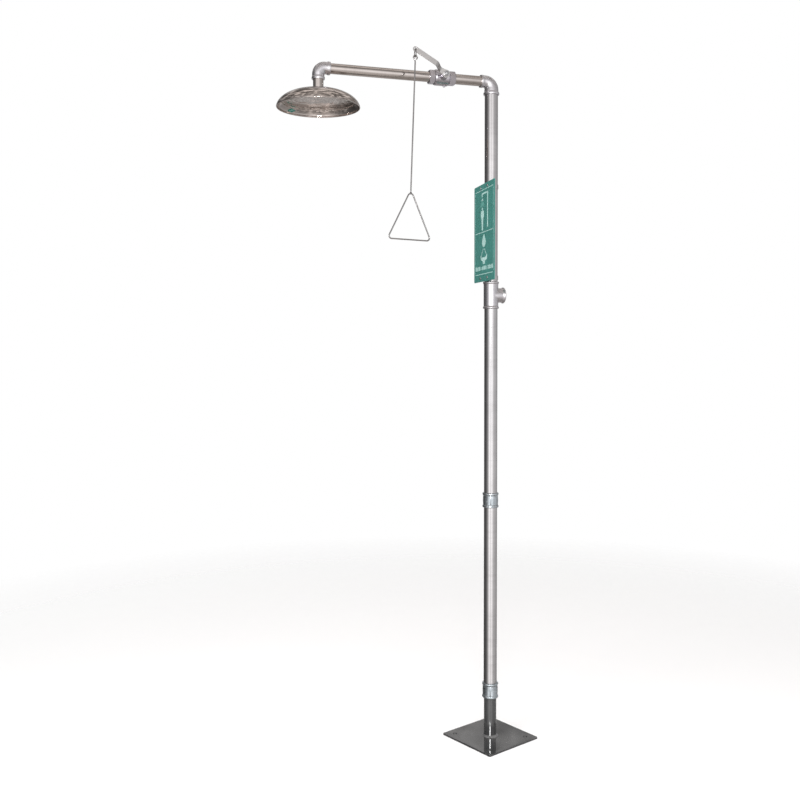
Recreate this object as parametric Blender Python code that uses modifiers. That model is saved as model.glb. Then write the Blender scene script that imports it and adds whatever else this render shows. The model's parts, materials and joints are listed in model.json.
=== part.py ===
"""Emergency drench shower stand.

A welded floor plate carries a threaded 1-1/4 inch riser in stainless cover tubes. A reducing elbow turns
it into a 1 inch arm with a ball valve, a pull rod with a triangular handle, and a spun shower head.

Frame: metres, +Z up, origin on the floor under the riser's axis. The arm runs along -X, the valve's stem
points along -Y and the inlet tee's branch along +X.
"""

import math

import bmesh
import bpy
from mathutils import Vector

MM = 0.001
GAP = 0.3 * MM
CUT_PAST = 10 * MM
JOIN_DEPTH = 2 * MM
MERGE_DISTANCE = 0.005 * MM

# Floor plate
PLATE_SIDE = 230 * MM
PLATE_THICKNESS = 6 * MM
PLATE_TURN = math.radians(22.7)
ANCHOR_INSET = 30 * MM
ANCHOR_RADIUS = 7 * MM
WELD_LEG = 6 * MM
WELD_CROWN = 0.6

# Riser: 1-1/4 inch pipe, outside and inside radius, and the cover tube over it
RISER_RADIUS = 21.2 * MM
RISER_BORE = 17.64 * MM
COVER_RADIUS = 22.6 * MM
COVER_BORE = 21.7 * MM
THREAD_DEPTH = 22 * MM

# Couplings and tee on the riser: lowest and highest point of each
LOWER_COUPLING = (139 * MM, 190 * MM)
MIDDLE_COUPLING = (793 * MM, 843 * MM)
TEE = (1471 * MM, 1563 * MM)
FITTING_RADIUS = 24.8 * MM
BEAD_RADIUS = 27.6 * MM
BEAD_HEIGHT = 8 * MM
ROUND_OFF = 1.5 * MM
TEE_REACH = 46 * MM
TEE_SOCKET_RADIUS = 19.6 * MM
TEE_BRANCH_RADIUS = FITTING_RADIUS - 1 * MM
TEE_CORE_RADIUS = FITTING_RADIUS - 6 * MM
TEE_BRANCH_CORE = TEE_SOCKET_RADIUS - 2 * MM

# Arm: 1 inch pipe at this height, running along -X
ARM_HEIGHT = 2239 * MM
ARM_RADIUS = 16.85 * MM
ARM_BORE = 14.05 * MM
ARM_REACH = 597 * MM
ARM_THREAD = 15 * MM
NIPPLE_THREAD = 13 * MM
SMALL_BODY = 19.8 * MM
SMALL_BEAD = 21.4 * MM

# Post elbow (1-1/4 to 1 inch) and head elbow (1 inch): from centre to each mouth
POST_ELBOW_DROP = 44 * MM
POST_ELBOW_REACH = 40 * MM
POST_ELBOW_THREAD = 16 * MM
POST_ELBOW_BODY = FITTING_RADIUS - 0.4 * MM
POST_ELBOW_BEAD = BEAD_RADIUS - 0.6 * MM
HEAD_ELBOW_REACH = 38 * MM

# Ball valve, along X; the stem runs along -Y
VALVE_POST_END = -134 * MM
VALVE_ARM_END = -224 * MM
VALVE_SPLIT = -206 * MM
STEM_X = -180 * MM
VALVE_BODY_RADIUS = 26 * MM
VALVE_HEX = 24.2 * MM
VALVE_HEX_LENGTH = 20 * MM
VALVE_CORE = 11.5 * MM
VALVE_TAPERS = ((4 * MM, 6 * MM), (2 * MM, 5 * MM))
VALVE_LUG_RADIUS = 4 * MM
VALVE_LUG_OFFSET = 10 * MM
VALVE_THREAD = ARM_THREAD + 1 * MM
CHAMBER_RADIUS = 21 * MM
CHAMBER_END = STEM_X + 19.5 * MM
SPIGOT_LENGTH = 6 * MM
BALL_RADIUS = 18 * MM
BALL_BORE = 12.5 * MM
BALL_SLOT = (5 * MM, 8 * MM, 14 * MM)
SEAT_OUTER = 20.6 * MM
SEAT_NEAR = 8.6 * MM
SEAT_FAR = 18.8 * MM

# Stem, packing and gland nut: distances in front of the valve's axis
BOSS_RADIUS = 11 * MM
BOSS_START = 10 * MM
BOSS_END = 40 * MM
STEM_RADIUS = 5 * MM
STEM_START = 19.2 * MM
STEM_END = 63 * MM
TANG_SIZE = (4.4 * MM, 6.5 * MM, 12 * MM)
TANG_CENTRE = 17.6 * MM
COLLAR_RADIUS = 7 * MM
COLLAR = (19.5 * MM, 24.6 * MM)
COLLAR_HOLE = (15 * MM, 25 * MM)
COLLAR_HOLE_RADIUS = 7.4 * MM
PACKING_BOX = 8.6 * MM
PACKING = (30 * MM, 38 * MM)
GLAND_NUT_RADIUS = 13.5 * MM
GLAND_NUT_END = 47 * MM

# Lever: a joggled strap; its hub plane and grip plane are this far in front of the valve's axis
LEVER_LENGTH = 130.7 * MM
LEVER_ANGLE = math.radians(28.8)
LEVER_THICKNESS = 3 * MM
LEVER_HUB_WIDTH = 26 * MM
LEVER_WIDTH = 16 * MM
HUB_PLANE = 51.8 * MM
GRIP_PLANE = 78.5 * MM
JOGGLE = (20 * MM, 50 * MM)
LEVER_SHOULDER = (12 * MM, LEVER_WIDTH / 2 + 1.5 * MM)
LINK_HOLE = 4 * MM
WASHER_RADIUS = 9 * MM
WASHER_TOP = 1.8 * MM
LEVER_NUT_RADIUS = 9.2 * MM
LEVER_NUT = (2.1 * MM, 8 * MM)

# Link, pull rod and triangular handle
LINK_WIRE = 1.75 * MM
LINK_LENGTH = 26 * MM
LINK_HALF_WIDTH = 8.5 * MM
ROD_RADIUS = 2.25 * MM
EYE_RADIUS = 6.25 * MM
EYE_CLEARANCE = 0.8 * MM
EYE_NECK = ((0, -2.2), (-0.2, -1.5))
EYE_ARC = (235, -60)
ROD_LEAN = math.radians(2.0)
APEX_DROP = 436 * MM
HANDLE_HEIGHT = 150 * MM
HANDLE_WIDTH = 146 * MM
HANDLE_CORNER = 9 * MM

# Shower head, spun sheet
HEAD_RADIUS = 135 * MM
HEAD_RIM = 2110 * MM
HEAD_RISE = 56 * MM
HEAD_SHEET = 1.2 * MM
DOME_WIDTH_POWER = 0.91
DOME_HEIGHT_POWER = 1.11
SPRAY_PLATE_RECESS = 23 * MM
SPRAY_PLATE_RADIUS = 119.5 * MM
SPRAY_PLATE_LIP = 5 * MM
SPRAY_PLATE_SHEET = 1 * MM
SPRAY_PLATE_HOLE = 2 * MM
SOCKET_RADIUS = 22 * MM
SOCKET_LENGTH = 24 * MM
SOCKET_THREAD = 20 * MM

# Sign and its clamps
SIGN_WIDTH = 218 * MM
SIGN_HEIGHT = 332 * MM
SIGN_THICKNESS = 2 * MM
SIGN_BOTTOM = 1564 * MM
SIGN_TURN = math.radians(-3.3)
SIGN_BACK = COVER_RADIUS + GAP
EAR_GAP = 6 * MM
EAR_LENGTH = 23 * MM
CLAMP_WIDTH = 14 * MM
CLAMP_SHEET = 1.5 * MM
CLAMP_HEIGHTS = {"sign_clamp_upper": 1884 * MM, "sign_clamp_lower": 1576 * MM}
BOLT_SPREAD = 36 * MM
BOLT_RADIUS = 2.5 * MM
BOLT_HEAD = 4.6 * MM
BOLT_HEAD_HEIGHT = 3 * MM
BOLT_PAST_EAR = 6 * MM
BOLT_HOLE_SPAN = (-40 * MM, 10 * MM)
SIGN_NUT_HEIGHT = 4 * MM

PIPE_STEPS = 36
FITTING_STEPS = 32
SMALL_STEPS = 20
BOLT_STEPS = 12
BOLT_HEAD_STEPS = 16
BEND_STEPS = 6
HEAD_STEPS = 44
DOME_STEPS = 11
BALL_STEPS = (24, 14)
SEAT_STEPS = 4
JOGGLE_STEPS = 8
LINK_STEPS = 12
EYE_STEPS = 18
CORNER_STEPS = 5
CLAMP_STEPS = 24

ALONG_X = (0, math.radians(90), 0)
ALONG_MINUS_Y = (math.radians(90), 0, 0)


def clear_scene():
    for old in list(bpy.data.objects):
        bpy.data.objects.remove(old, do_unlink=True)


def new_collection(name):
    collection = bpy.data.collections.new(name)
    bpy.context.scene.collection.children.link(collection)
    return collection


def material(name, colour, roughness, metallic):
    made = bpy.data.materials.get(name)
    if made is None:
        made = bpy.data.materials.new(name)
        made.use_nodes = True
        shader = made.node_tree.nodes["Principled BSDF"]
        shader.inputs["Base Color"].default_value = (*colour, 1)
        shader.inputs["Roughness"].default_value = roughness
        shader.inputs["Metallic"].default_value = metallic
    return made


def black_paint():
    return material("black_paint", (0.03, 0.032, 0.035), 0.3, 0.0)


def riser_steel():
    return material("riser_steel", (0.4, 0.4, 0.42), 0.6, 1.0)


def brushed_stainless():
    return material("brushed_stainless", (0.62, 0.6, 0.6), 0.3, 1.0)


def polished_stainless():
    return material("polished_stainless", (0.6, 0.55, 0.51), 0.15, 1.0)


def galvanised_iron():
    return material("galvanised_iron", (0.62, 0.67, 0.72), 0.5, 1.0)


def grey_iron():
    return material("grey_iron", (0.42, 0.42, 0.44), 0.45, 1.0)


def valve_steel():
    return material("valve_steel", (0.48, 0.46, 0.5), 0.4, 1.0)


def seat_plastic():
    return material("seat_plastic", (0.85, 0.85, 0.82), 0.5, 0.0)


def sign_green():
    return material("sign_green", (0.05, 0.24, 0.2), 0.4, 0.0)


def place(obj, collection, finish=None, location=(0, 0, 0), rotation=(0, 0, 0), parent=None):
    collection.objects.link(obj)
    obj.location = location
    obj.rotation_euler = rotation
    obj.parent = parent
    if finish is not None:
        obj.data.materials.append(finish)
    return obj


def as_cutter(obj):
    obj.hide_render = True
    obj.display_type = "WIRE"
    return obj


def turned(name, profile, steps, **where):
    """A closed profile of (radius, height) points, turned about the local Z axis."""
    mesh = bpy.data.meshes.new(name)
    points = [(radius, 0, height) for radius, height in profile]
    edges = [(i, (i + 1) % len(points)) for i in range(len(points))]
    mesh.from_pydata(points, edges, [])
    obj = place(bpy.data.objects.new(name, mesh), **where)
    screw = obj.modifiers.new("turn", "SCREW")
    screw.steps = steps
    screw.render_steps = steps
    screw.use_merge_vertices = True
    screw.merge_threshold = 2 * MERGE_DISTANCE
    return obj


def ring_profile(outer, bore, low, high):
    return [(outer, high), (outer, low), (bore, low), (bore, high)]


def pipe(name, outer, bore, low, high, steps=PIPE_STEPS, **where):
    return turned(name, ring_profile(outer, bore, low, high), steps, **where)


def shade_smooth(obj, angle=35):
    obj.data.shade_smooth()
    obj.data.set_sharp_from_angle(angle=math.radians(angle))


def solid_cylinder(name, radius, low, high, steps=SMALL_STEPS, **where):
    """A closed cylinder, or a prism with few steps, from low to high on the local Z axis."""
    mesh = bpy.data.meshes.new(name)
    shape = bmesh.new()
    bmesh.ops.create_cone(
        shape, cap_ends=True, segments=steps, radius1=radius, radius2=radius, depth=high - low
    )
    bmesh.ops.translate(shape, verts=shape.verts, vec=(0, 0, (low + high) / 2))
    shape.to_mesh(mesh)
    shape.free()
    return place(bpy.data.objects.new(name, mesh), **where)


def solid_box(name, size, centre, **where):
    mesh = bpy.data.meshes.new(name)
    shape = bmesh.new()
    bmesh.ops.create_cube(shape, size=1)
    bmesh.ops.scale(shape, verts=shape.verts, vec=size)
    bmesh.ops.translate(shape, verts=shape.verts, vec=centre)
    shape.to_mesh(mesh)
    shape.free()
    return place(bpy.data.objects.new(name, mesh), **where)


def boolean(obj, other, operation):
    modifier = obj.modifiers.new(other.name, "BOOLEAN")
    modifier.operation = operation
    modifier.solver = "EXACT"
    modifier.object = as_cutter(other)
    return obj


def cut(obj, other):
    return boolean(obj, other, "DIFFERENCE")


def join(obj, other):
    return boolean(obj, other, "UNION")


def wire(name, points, radius, cyclic=False, resolution=3, radii=None, **where):
    """A round bar along points; radii gives its radius at each point where it varies."""
    curve = bpy.data.curves.new(name, "CURVE")
    curve.dimensions = "3D"
    curve.bevel_depth = radius
    curve.bevel_resolution = resolution
    curve.use_fill_caps = not cyclic
    spline = curve.splines.new("POLY")
    spline.points.add(len(points) - 1)
    for i, point in enumerate(points):
        spline.points[i].co = (*point, 1)
        spline.points[i].radius = radii[i] / radius if radii else 1
    spline.use_cyclic_u = cyclic
    return place(bpy.data.objects.new(name, curve), **where)


def meshed(obj):
    """The curve object as a closed mesh object of the same name and place."""
    graph = bpy.context.evaluated_depsgraph_get()
    mesh = bpy.data.meshes.new_from_object(obj.evaluated_get(graph))
    shape = bmesh.new()
    shape.from_mesh(mesh)
    bmesh.ops.remove_doubles(shape, verts=shape.verts, dist=MERGE_DISTANCE)
    bmesh.ops.recalc_face_normals(shape, faces=shape.faces)
    shape.to_mesh(mesh)
    shape.free()
    name = obj.name
    collection = obj.users_collection[0]
    matrix = obj.matrix_world.copy()
    bpy.data.objects.remove(obj, do_unlink=True)
    made = bpy.data.objects.new(name, mesh)
    collection.objects.link(made)
    made.matrix_world = matrix
    return made


def arc(centre, radius, start, end, count):
    """Points in the XZ plane; angles in degrees from +X towards +Z."""
    points = []
    for i in range(count + 1):
        angle = math.radians(start + (end - start) * i / count)
        points.append((centre[0] + radius * math.cos(angle), 0, centre[1] + radius * math.sin(angle)))
    return points


def banded_profile(outer, bead, bore, low, high):
    """The side of a coupling: a body between two rounded beads."""
    side = []
    for start, end in ((high, high - BEAD_HEIGHT), (low + BEAD_HEIGHT, low)):
        side.append((bead - ROUND_OFF if start == high else outer, start))
        side.append((bead, start - ROUND_OFF))
        side.append((bead, end + ROUND_OFF))
        side.append((outer if start == high else bead - ROUND_OFF, end))
    return side + [(bore, low), (bore, high)]


def base(parts, cutters):
    plate = solid_box(
        "base_plate",
        (PLATE_SIDE, PLATE_SIDE, PLATE_THICKNESS),
        (0, 0, PLATE_THICKNESS / 2),
        collection=parts,
        finish=black_paint(),
        rotation=(0, 0, PLATE_TURN),
    )
    reach = PLATE_SIDE / 2 - ANCHOR_INSET
    for i, (x, y) in enumerate(((1, 1), (1, -1), (-1, -1), (-1, 1))):
        spot = Vector((x * reach, y * reach, 0))
        spot.rotate(plate.rotation_euler)
        hole = solid_cylinder(
            f"anchor_hole_{i + 1}", ANCHOR_RADIUS, -CUT_PAST, 2 * CUT_PAST, collection=cutters, location=spot
        )
        cut(plate, hole)
    foot = PLATE_THICKNESS + GAP
    pipe(
        "base_stub_pipe",
        RISER_RADIUS,
        RISER_BORE,
        foot,
        LOWER_COUPLING[0] + THREAD_DEPTH,
        collection=parts,
        finish=black_paint(),
    )
    inner = RISER_RADIUS + GAP
    crown = WELD_LEG * WELD_CROWN
    weld = [(inner, foot + WELD_LEG), (inner + crown, foot + crown)]
    weld += [(inner + WELD_LEG, foot), (inner, foot)]
    turned("base_weld", weld, PIPE_STEPS, collection=parts, finish=black_paint())


def coupling(name, span, parts):
    profile = banded_profile(FITTING_RADIUS, BEAD_RADIUS, RISER_RADIUS + GAP, *span)
    made = turned(name, profile, PIPE_STEPS, collection=parts, finish=galvanised_iron())
    shade_smooth(made)


def riser_section(name, low_fitting, high_fitting, parts, high_thread=THREAD_DEPTH):
    """The pipe that carries the water and the cover tube seen over it, between two fittings."""
    low = low_fitting[1]
    high = high_fitting[0]
    pipe(
        f"{name}_riser_pipe",
        RISER_RADIUS,
        RISER_BORE,
        low - THREAD_DEPTH,
        high + high_thread,
        collection=parts,
        finish=riser_steel(),
    )
    pipe(
        f"{name}_cover_tube",
        COVER_RADIUS,
        COVER_BORE,
        low + GAP,
        high - GAP,
        collection=parts,
        finish=brushed_stainless(),
    )


def inlet_tee(parts, cutters):
    centre = (0, 0, sum(TEE) / 2)
    half = (TEE[1] - TEE[0]) / 2
    tee = turned(
        "inlet_tee",
        banded_profile(FITTING_RADIUS, BEAD_RADIUS, TEE_CORE_RADIUS, -half, half),
        FITTING_STEPS,
        collection=parts,
        finish=grey_iron(),
        location=centre,
    )
    bead_start = TEE_REACH - BEAD_HEIGHT
    branch_side = [(BEAD_RADIUS - ROUND_OFF, TEE_REACH), (BEAD_RADIUS, TEE_REACH - ROUND_OFF)]
    branch_side += [(BEAD_RADIUS, bead_start + ROUND_OFF), (TEE_BRANCH_RADIUS, bead_start)]
    branch_side += [(TEE_BRANCH_RADIUS, 0), (TEE_BRANCH_CORE, 0), (TEE_BRANCH_CORE, TEE_REACH)]
    branch = turned(
        "tee_branch", branch_side, FITTING_STEPS, collection=cutters, location=centre, rotation=ALONG_X
    )
    join(tee, branch)
    run = solid_cylinder(
        "tee_run_bore",
        RISER_RADIUS + GAP,
        -half - CUT_PAST,
        half + CUT_PAST,
        FITTING_STEPS,
        collection=cutters,
        location=centre,
    )
    cut(tee, run)
    socket = solid_cylinder(
        "tee_socket_bore",
        TEE_SOCKET_RADIUS,
        0,
        TEE_REACH + CUT_PAST,
        FITTING_STEPS,
        collection=cutters,
        location=centre,
        rotation=ALONG_X,
    )
    cut(tee, socket)


def elbow_path(drop, reach, bend):
    """From the lower mouth up, round the bend and out to the mouth at -X, with four points at each bead."""
    points = [(0, 0, -drop), (0, 0, -drop + ROUND_OFF), (0, 0, -drop + BEAD_HEIGHT - ROUND_OFF)]
    points += [(0, 0, -drop + BEAD_HEIGHT)]
    points += arc((-bend, -bend), bend, 0, 90, BEND_STEPS)
    points += [(-reach + BEAD_HEIGHT, 0, 0), (-reach + BEAD_HEIGHT - ROUND_OFF, 0, 0)]
    points += [(-reach + ROUND_OFF, 0, 0), (-reach, 0, 0)]
    return points


def elbow(name, drop, reach, low, side, parts, cutters, **where):
    """low and side are each mouth's (body radius, bead radius, bore radius)."""
    bend = max(low[0], side[0]) + ROUND_OFF
    points = elbow_path(drop, reach, bend)
    shares = [i / BEND_STEPS for i in range(BEND_STEPS + 1)]
    radii = [low[1] - ROUND_OFF, low[1], low[1], low[0]]
    radii += [low[0] + (side[0] - low[0]) * share for share in shares]
    radii += [side[0], side[1], side[1], side[1] - ROUND_OFF]
    made = meshed(wire(name, points, low[1], radii=radii, resolution=10, collection=parts, **where))
    hollow_path = [(0, 0, -drop - CUT_PAST / 2), (0, 0, -bend)]
    hollow_path += arc((-bend, -bend), bend, 0, 90, BEND_STEPS)[1:-1]
    hollow_path += [(-bend, 0, 0), (-reach - CUT_PAST / 2, 0, 0)]
    hollow_radii = [low[2]] + [low[2] + (side[2] - low[2]) * share for share in shares] + [side[2]]
    hollow = wire(
        f"{name}_hollow", hollow_path, low[2], radii=hollow_radii, resolution=14, collection=cutters, **where
    )
    cut(made, meshed(hollow))
    made.data.materials.append(grey_iron())
    shade_smooth(made)


def elbows(parts, cutters):
    small = (SMALL_BODY, SMALL_BEAD, ARM_RADIUS + GAP)
    elbow(
        "post_elbow",
        POST_ELBOW_DROP,
        POST_ELBOW_REACH,
        (POST_ELBOW_BODY, POST_ELBOW_BEAD, RISER_RADIUS + GAP),
        small,
        parts,
        cutters,
        location=(0, 0, ARM_HEIGHT),
    )
    elbow(
        "head_elbow",
        HEAD_ELBOW_REACH,
        HEAD_ELBOW_REACH,
        small,
        small,
        parts,
        cutters,
        location=(-ARM_REACH, 0, ARM_HEIGHT),
        rotation=(0, 0, math.pi),
    )


def arm_pipes(parts):
    spans = {
        "valve_nipple": (
            VALVE_POST_END - ARM_THREAD,
            -POST_ELBOW_REACH + NIPPLE_THREAD,
            brushed_stainless(),
        ),
        "arm_pipe": (
            -ARM_REACH + HEAD_ELBOW_REACH - ARM_THREAD,
            VALVE_ARM_END + ARM_THREAD,
            polished_stainless(),
        ),
    }
    for name, (low, high, finish) in spans.items():
        pipe(
            name,
            ARM_RADIUS,
            ARM_BORE,
            low,
            high,
            collection=parts,
            finish=finish,
            location=(0, 0, ARM_HEIGHT),
            rotation=ALONG_X,
        )


def valve_housing(parts, cutters):
    here = {"location": (0, 0, ARM_HEIGHT), "rotation": ALONG_X}
    neck = VALVE_POST_END - VALVE_HEX_LENGTH
    post_taper, arm_taper = VALVE_TAPERS
    body_profile = [(VALVE_BODY_RADIUS - post_taper[0], neck), (VALVE_BODY_RADIUS, neck - post_taper[1])]
    body_profile += [(VALVE_BODY_RADIUS, VALVE_SPLIT + arm_taper[1])]
    body_profile += [(VALVE_BODY_RADIUS - arm_taper[0], VALVE_SPLIT + GAP)]
    body_profile += [(VALVE_CORE, VALVE_SPLIT + GAP), (VALVE_CORE, neck)]
    body = turned("valve_body", body_profile, FITTING_STEPS, collection=parts, finish=valve_steel(), **here)
    hexagon = solid_cylinder(
        "valve_body_hexagon", VALVE_HEX, neck - JOIN_DEPTH, VALVE_POST_END, 6, collection=cutters, **here
    )
    join(body, hexagon)
    stem_place = {"location": (STEM_X, 0, ARM_HEIGHT), "rotation": ALONG_MINUS_Y}
    boss = solid_cylinder("valve_boss", BOSS_RADIUS, BOSS_START, BOSS_END, collection=cutters, **stem_place)
    join(body, boss)
    lug = solid_cylinder(
        "valve_lug",
        VALVE_LUG_RADIUS,
        -VALVE_BODY_RADIUS - VALVE_LUG_RADIUS,
        -VALVE_BODY_RADIUS + VALVE_LUG_RADIUS,
        BOLT_STEPS,
        collection=cutters,
        location=(STEM_X + VALVE_LUG_OFFSET, 0, ARM_HEIGHT),
    )
    join(body, lug)
    holes = {
        "valve_chamber": (CHAMBER_RADIUS, VALVE_SPLIT - CUT_PAST, CHAMBER_END),
        "valve_port": (BALL_BORE, VALVE_SPLIT - CUT_PAST, VALVE_POST_END + CUT_PAST),
        "valve_thread": (ARM_RADIUS + GAP, VALVE_POST_END - VALVE_THREAD, VALVE_POST_END + CUT_PAST),
    }
    for name, (radius, low, high) in holes.items():
        cut(body, solid_cylinder(name, radius, low, high, FITTING_STEPS, collection=cutters, **here))
    stem_holes = {
        "collar_hole": (COLLAR_HOLE_RADIUS, *COLLAR_HOLE),
        "stem_hole": (STEM_RADIUS + GAP, COLLAR_HOLE[0], BOSS_END + CUT_PAST),
        "packing_box": (PACKING_BOX, PACKING[0], BOSS_END + CUT_PAST),
    }
    for name, (radius, low, high) in stem_holes.items():
        cut(body, solid_cylinder(name, radius, low, high, collection=cutters, **stem_place))
    cap_span = (VALVE_ARM_END, VALVE_SPLIT)
    cap = solid_cylinder(
        "valve_end_cap", VALVE_HEX, *cap_span, 6, collection=parts, finish=valve_steel(), **here
    )
    spigot = solid_cylinder(
        "cap_spigot",
        CHAMBER_RADIUS - GAP,
        VALVE_SPLIT - JOIN_DEPTH / 2,
        VALVE_SPLIT + SPIGOT_LENGTH,
        FITTING_STEPS,
        collection=cutters,
        **here,
    )
    join(cap, spigot)
    cap_holes = {
        "cap_port": (BALL_BORE, VALVE_ARM_END - CUT_PAST, VALVE_SPLIT + 2 * CUT_PAST),
        "cap_thread": (ARM_RADIUS + GAP, VALVE_ARM_END - CUT_PAST, VALVE_ARM_END + VALVE_THREAD),
    }
    for name, (radius, low, high) in cap_holes.items():
        cut(cap, solid_cylinder(name, radius, low, high, FITTING_STEPS, collection=cutters, **here))


def seat_profile():
    """One seat ring: its face follows the ball; heights are from the ball's centre."""
    touch = BALL_RADIUS + GAP
    deep = math.sqrt(touch**2 - BALL_BORE**2)
    face = []
    for i in range(SEAT_STEPS + 1):
        height = SEAT_NEAR + (deep - SEAT_NEAR) * i / SEAT_STEPS
        face.append((math.sqrt(touch**2 - height**2), height))
    return [(SEAT_OUTER, SEAT_FAR), (SEAT_OUTER, SEAT_NEAR)] + face + [(BALL_BORE, SEAT_FAR)]


def ball_and_seats(parts, cutters):
    for name, turn in (("valve_seat_post_side", 90), ("valve_seat_arm_side", -90)):
        turned(
            name,
            seat_profile(),
            FITTING_STEPS,
            collection=parts,
            finish=seat_plastic(),
            location=(STEM_X, 0, ARM_HEIGHT),
            rotation=(0, math.radians(turn), 0),
        )
    mesh = bpy.data.meshes.new("valve_ball")
    shape = bmesh.new()
    bmesh.ops.create_uvsphere(shape, u_segments=BALL_STEPS[0], v_segments=BALL_STEPS[1], radius=BALL_RADIUS)
    shape.to_mesh(mesh)
    shape.free()
    ball = place(
        bpy.data.objects.new("valve_ball", mesh),
        parts,
        polished_stainless(),
        location=(STEM_X, 0, ARM_HEIGHT),
    )
    port = solid_cylinder(
        "ball_port",
        BALL_BORE,
        -BALL_RADIUS - CUT_PAST,
        BALL_RADIUS + CUT_PAST,
        FITTING_STEPS,
        collection=cutters,
        location=(STEM_X, 0, ARM_HEIGHT),
    )
    cut(ball, port)
    slot = solid_box(
        "ball_slot",
        BALL_SLOT,
        (0, -BALL_RADIUS, 0),
        collection=cutters,
        location=(STEM_X, 0, ARM_HEIGHT),
    )
    cut(ball, slot)


def stem_and_gland(parts, cutters):
    here = {"location": (STEM_X, 0, ARM_HEIGHT), "rotation": ALONG_MINUS_Y}
    stem = solid_cylinder(
        "valve_stem", STEM_RADIUS, STEM_START, STEM_END, collection=parts, finish=valve_steel(), **here
    )
    collar = solid_cylinder("stem_collar", COLLAR_RADIUS, *COLLAR, collection=cutters, **here)
    join(stem, collar)
    tang = solid_box(
        "stem_tang",
        TANG_SIZE,
        (0, -TANG_CENTRE, 0),
        collection=cutters,
        location=(STEM_X, 0, ARM_HEIGHT),
    )
    join(stem, tang)
    pipe(
        "gland_packing",
        PACKING_BOX - GAP,
        STEM_RADIUS + GAP,
        PACKING[0] + GAP,
        PACKING[1],
        SMALL_STEPS,
        collection=parts,
        finish=seat_plastic(),
        **here,
    )
    nut_span = (BOSS_END + GAP, GLAND_NUT_END)
    nut = solid_cylinder(
        "gland_nut", GLAND_NUT_RADIUS, *nut_span, 6, collection=parts, finish=valve_steel(), **here
    )
    follower_span = (PACKING[1] + GAP, BOSS_END + JOIN_DEPTH / 2)
    join(nut, solid_cylinder("gland_follower", PACKING_BOX - GAP, *follower_span, collection=cutters, **here))
    hole_span = (BOSS_END - CUT_PAST, GLAND_NUT_END + CUT_PAST)
    cut(nut, solid_cylinder("gland_hole", STEM_RADIUS + GAP, *hole_span, collection=cutters, **here))


def lever_stations():
    """(distance from the stem, half width) along the strap, with round ends."""
    hub = LEVER_HUB_WIDTH / 2
    tip = LEVER_WIDTH / 2
    angles = [math.radians(a) for a in (15, 35, 55, 80)]
    stations = [(-hub * math.cos(a), hub * math.sin(a)) for a in angles]
    stations += [LEVER_SHOULDER]
    low, high = JOGGLE
    stations += [(low + (high - low) * i / JOGGLE_STEPS, tip) for i in range(JOGGLE_STEPS + 1)]
    stations += [(LEVER_LENGTH + tip * math.cos(a), tip * math.sin(a)) for a in reversed(angles)]
    return stations


def joggle(distance):
    """How far in front of the valve's axis the strap is at this distance from the stem."""
    low, high = JOGGLE
    part = min(1, max(0, (distance - low) / (high - low)))
    smooth = part * part * (3 - 2 * part)
    return HUB_PLANE + (GRIP_PLANE - HUB_PLANE) * smooth


def lever(parts, cutters):
    """The strap lies along local -X before its parent turns it up to the closed position."""
    axis = bpy.data.objects.new("lever_axis", None)
    place(axis, parts, location=(STEM_X, 0, ARM_HEIGHT), rotation=(0, LEVER_ANGLE, 0))
    mesh = bpy.data.meshes.new("lever_handle")
    shape = bmesh.new()
    rows = []
    for distance, half in lever_stations():
        y = -joggle(distance)
        rows.append([shape.verts.new((-distance, y, side * half)) for side in (-1, 1)])
    for a, b in zip(rows, rows[1:]):
        shape.faces.new((a[0], a[1], b[1], b[0]))
    shape.to_mesh(mesh)
    shape.free()
    strap = place(bpy.data.objects.new("lever_handle", mesh), parts, valve_steel(), parent=axis)
    thicken = strap.modifiers.new("strap", "SOLIDIFY")
    thicken.thickness = LEVER_THICKNESS
    thicken.offset = 0
    for name, distance, radius in (
        ("lever_hub_hole", 0, STEM_RADIUS + GAP),
        ("lever_link_hole", LEVER_LENGTH, LINK_HOLE),
    ):
        hole = solid_cylinder(
            name,
            radius,
            HUB_PLANE - CUT_PAST,
            GRIP_PLANE + CUT_PAST,
            collection=cutters,
            location=(-distance, 0, 0),
            rotation=ALONG_MINUS_Y,
            parent=axis,
        )
        cut(strap, hole)
    face = HUB_PLANE + LEVER_THICKNESS / 2
    here = {"location": (STEM_X, 0, ARM_HEIGHT), "rotation": ALONG_MINUS_Y}
    pipe(
        "lever_washer",
        WASHER_RADIUS,
        STEM_RADIUS + GAP,
        face + GAP,
        face + WASHER_TOP,
        SMALL_STEPS,
        collection=parts,
        finish=valve_steel(),
        **here,
    )
    nut_span = (face + LEVER_NUT[0], face + LEVER_NUT[1])
    nut = solid_cylinder(
        "lever_nut", LEVER_NUT_RADIUS, *nut_span, 6, collection=parts, finish=valve_steel(), **here
    )
    hole_span = (face - CUT_PAST, face + 2 * CUT_PAST)
    cut(nut, solid_cylinder("lever_nut_hole", STEM_RADIUS + GAP, *hole_span, collection=cutters, **here))


def link_hole_place():
    """The centre of the hole at the lever's tip, with the valve closed."""
    return Vector(
        (
            STEM_X - LEVER_LENGTH * math.cos(LEVER_ANGLE),
            -GRIP_PLANE,
            ARM_HEIGHT + LEVER_LENGTH * math.sin(LEVER_ANGLE),
        )
    )


def pull_link(parts):
    """An oval link in the YZ plane, through the lever's hole at its top."""
    straight = LINK_LENGTH - 2 * LINK_HALF_WIDTH
    points = arc((0, -LINK_HALF_WIDTH), LINK_HALF_WIDTH, 0, 180, LINK_STEPS)
    points += arc((0, -LINK_HALF_WIDTH - straight), LINK_HALF_WIDTH, 180, 360, LINK_STEPS)
    wire(
        "pull_link",
        points,
        LINK_WIRE,
        cyclic=True,
        resolution=2,
        collection=parts,
        finish=valve_steel(),
        location=link_hole_place(),
        rotation=(0, 0, math.radians(90)),
    )


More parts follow.
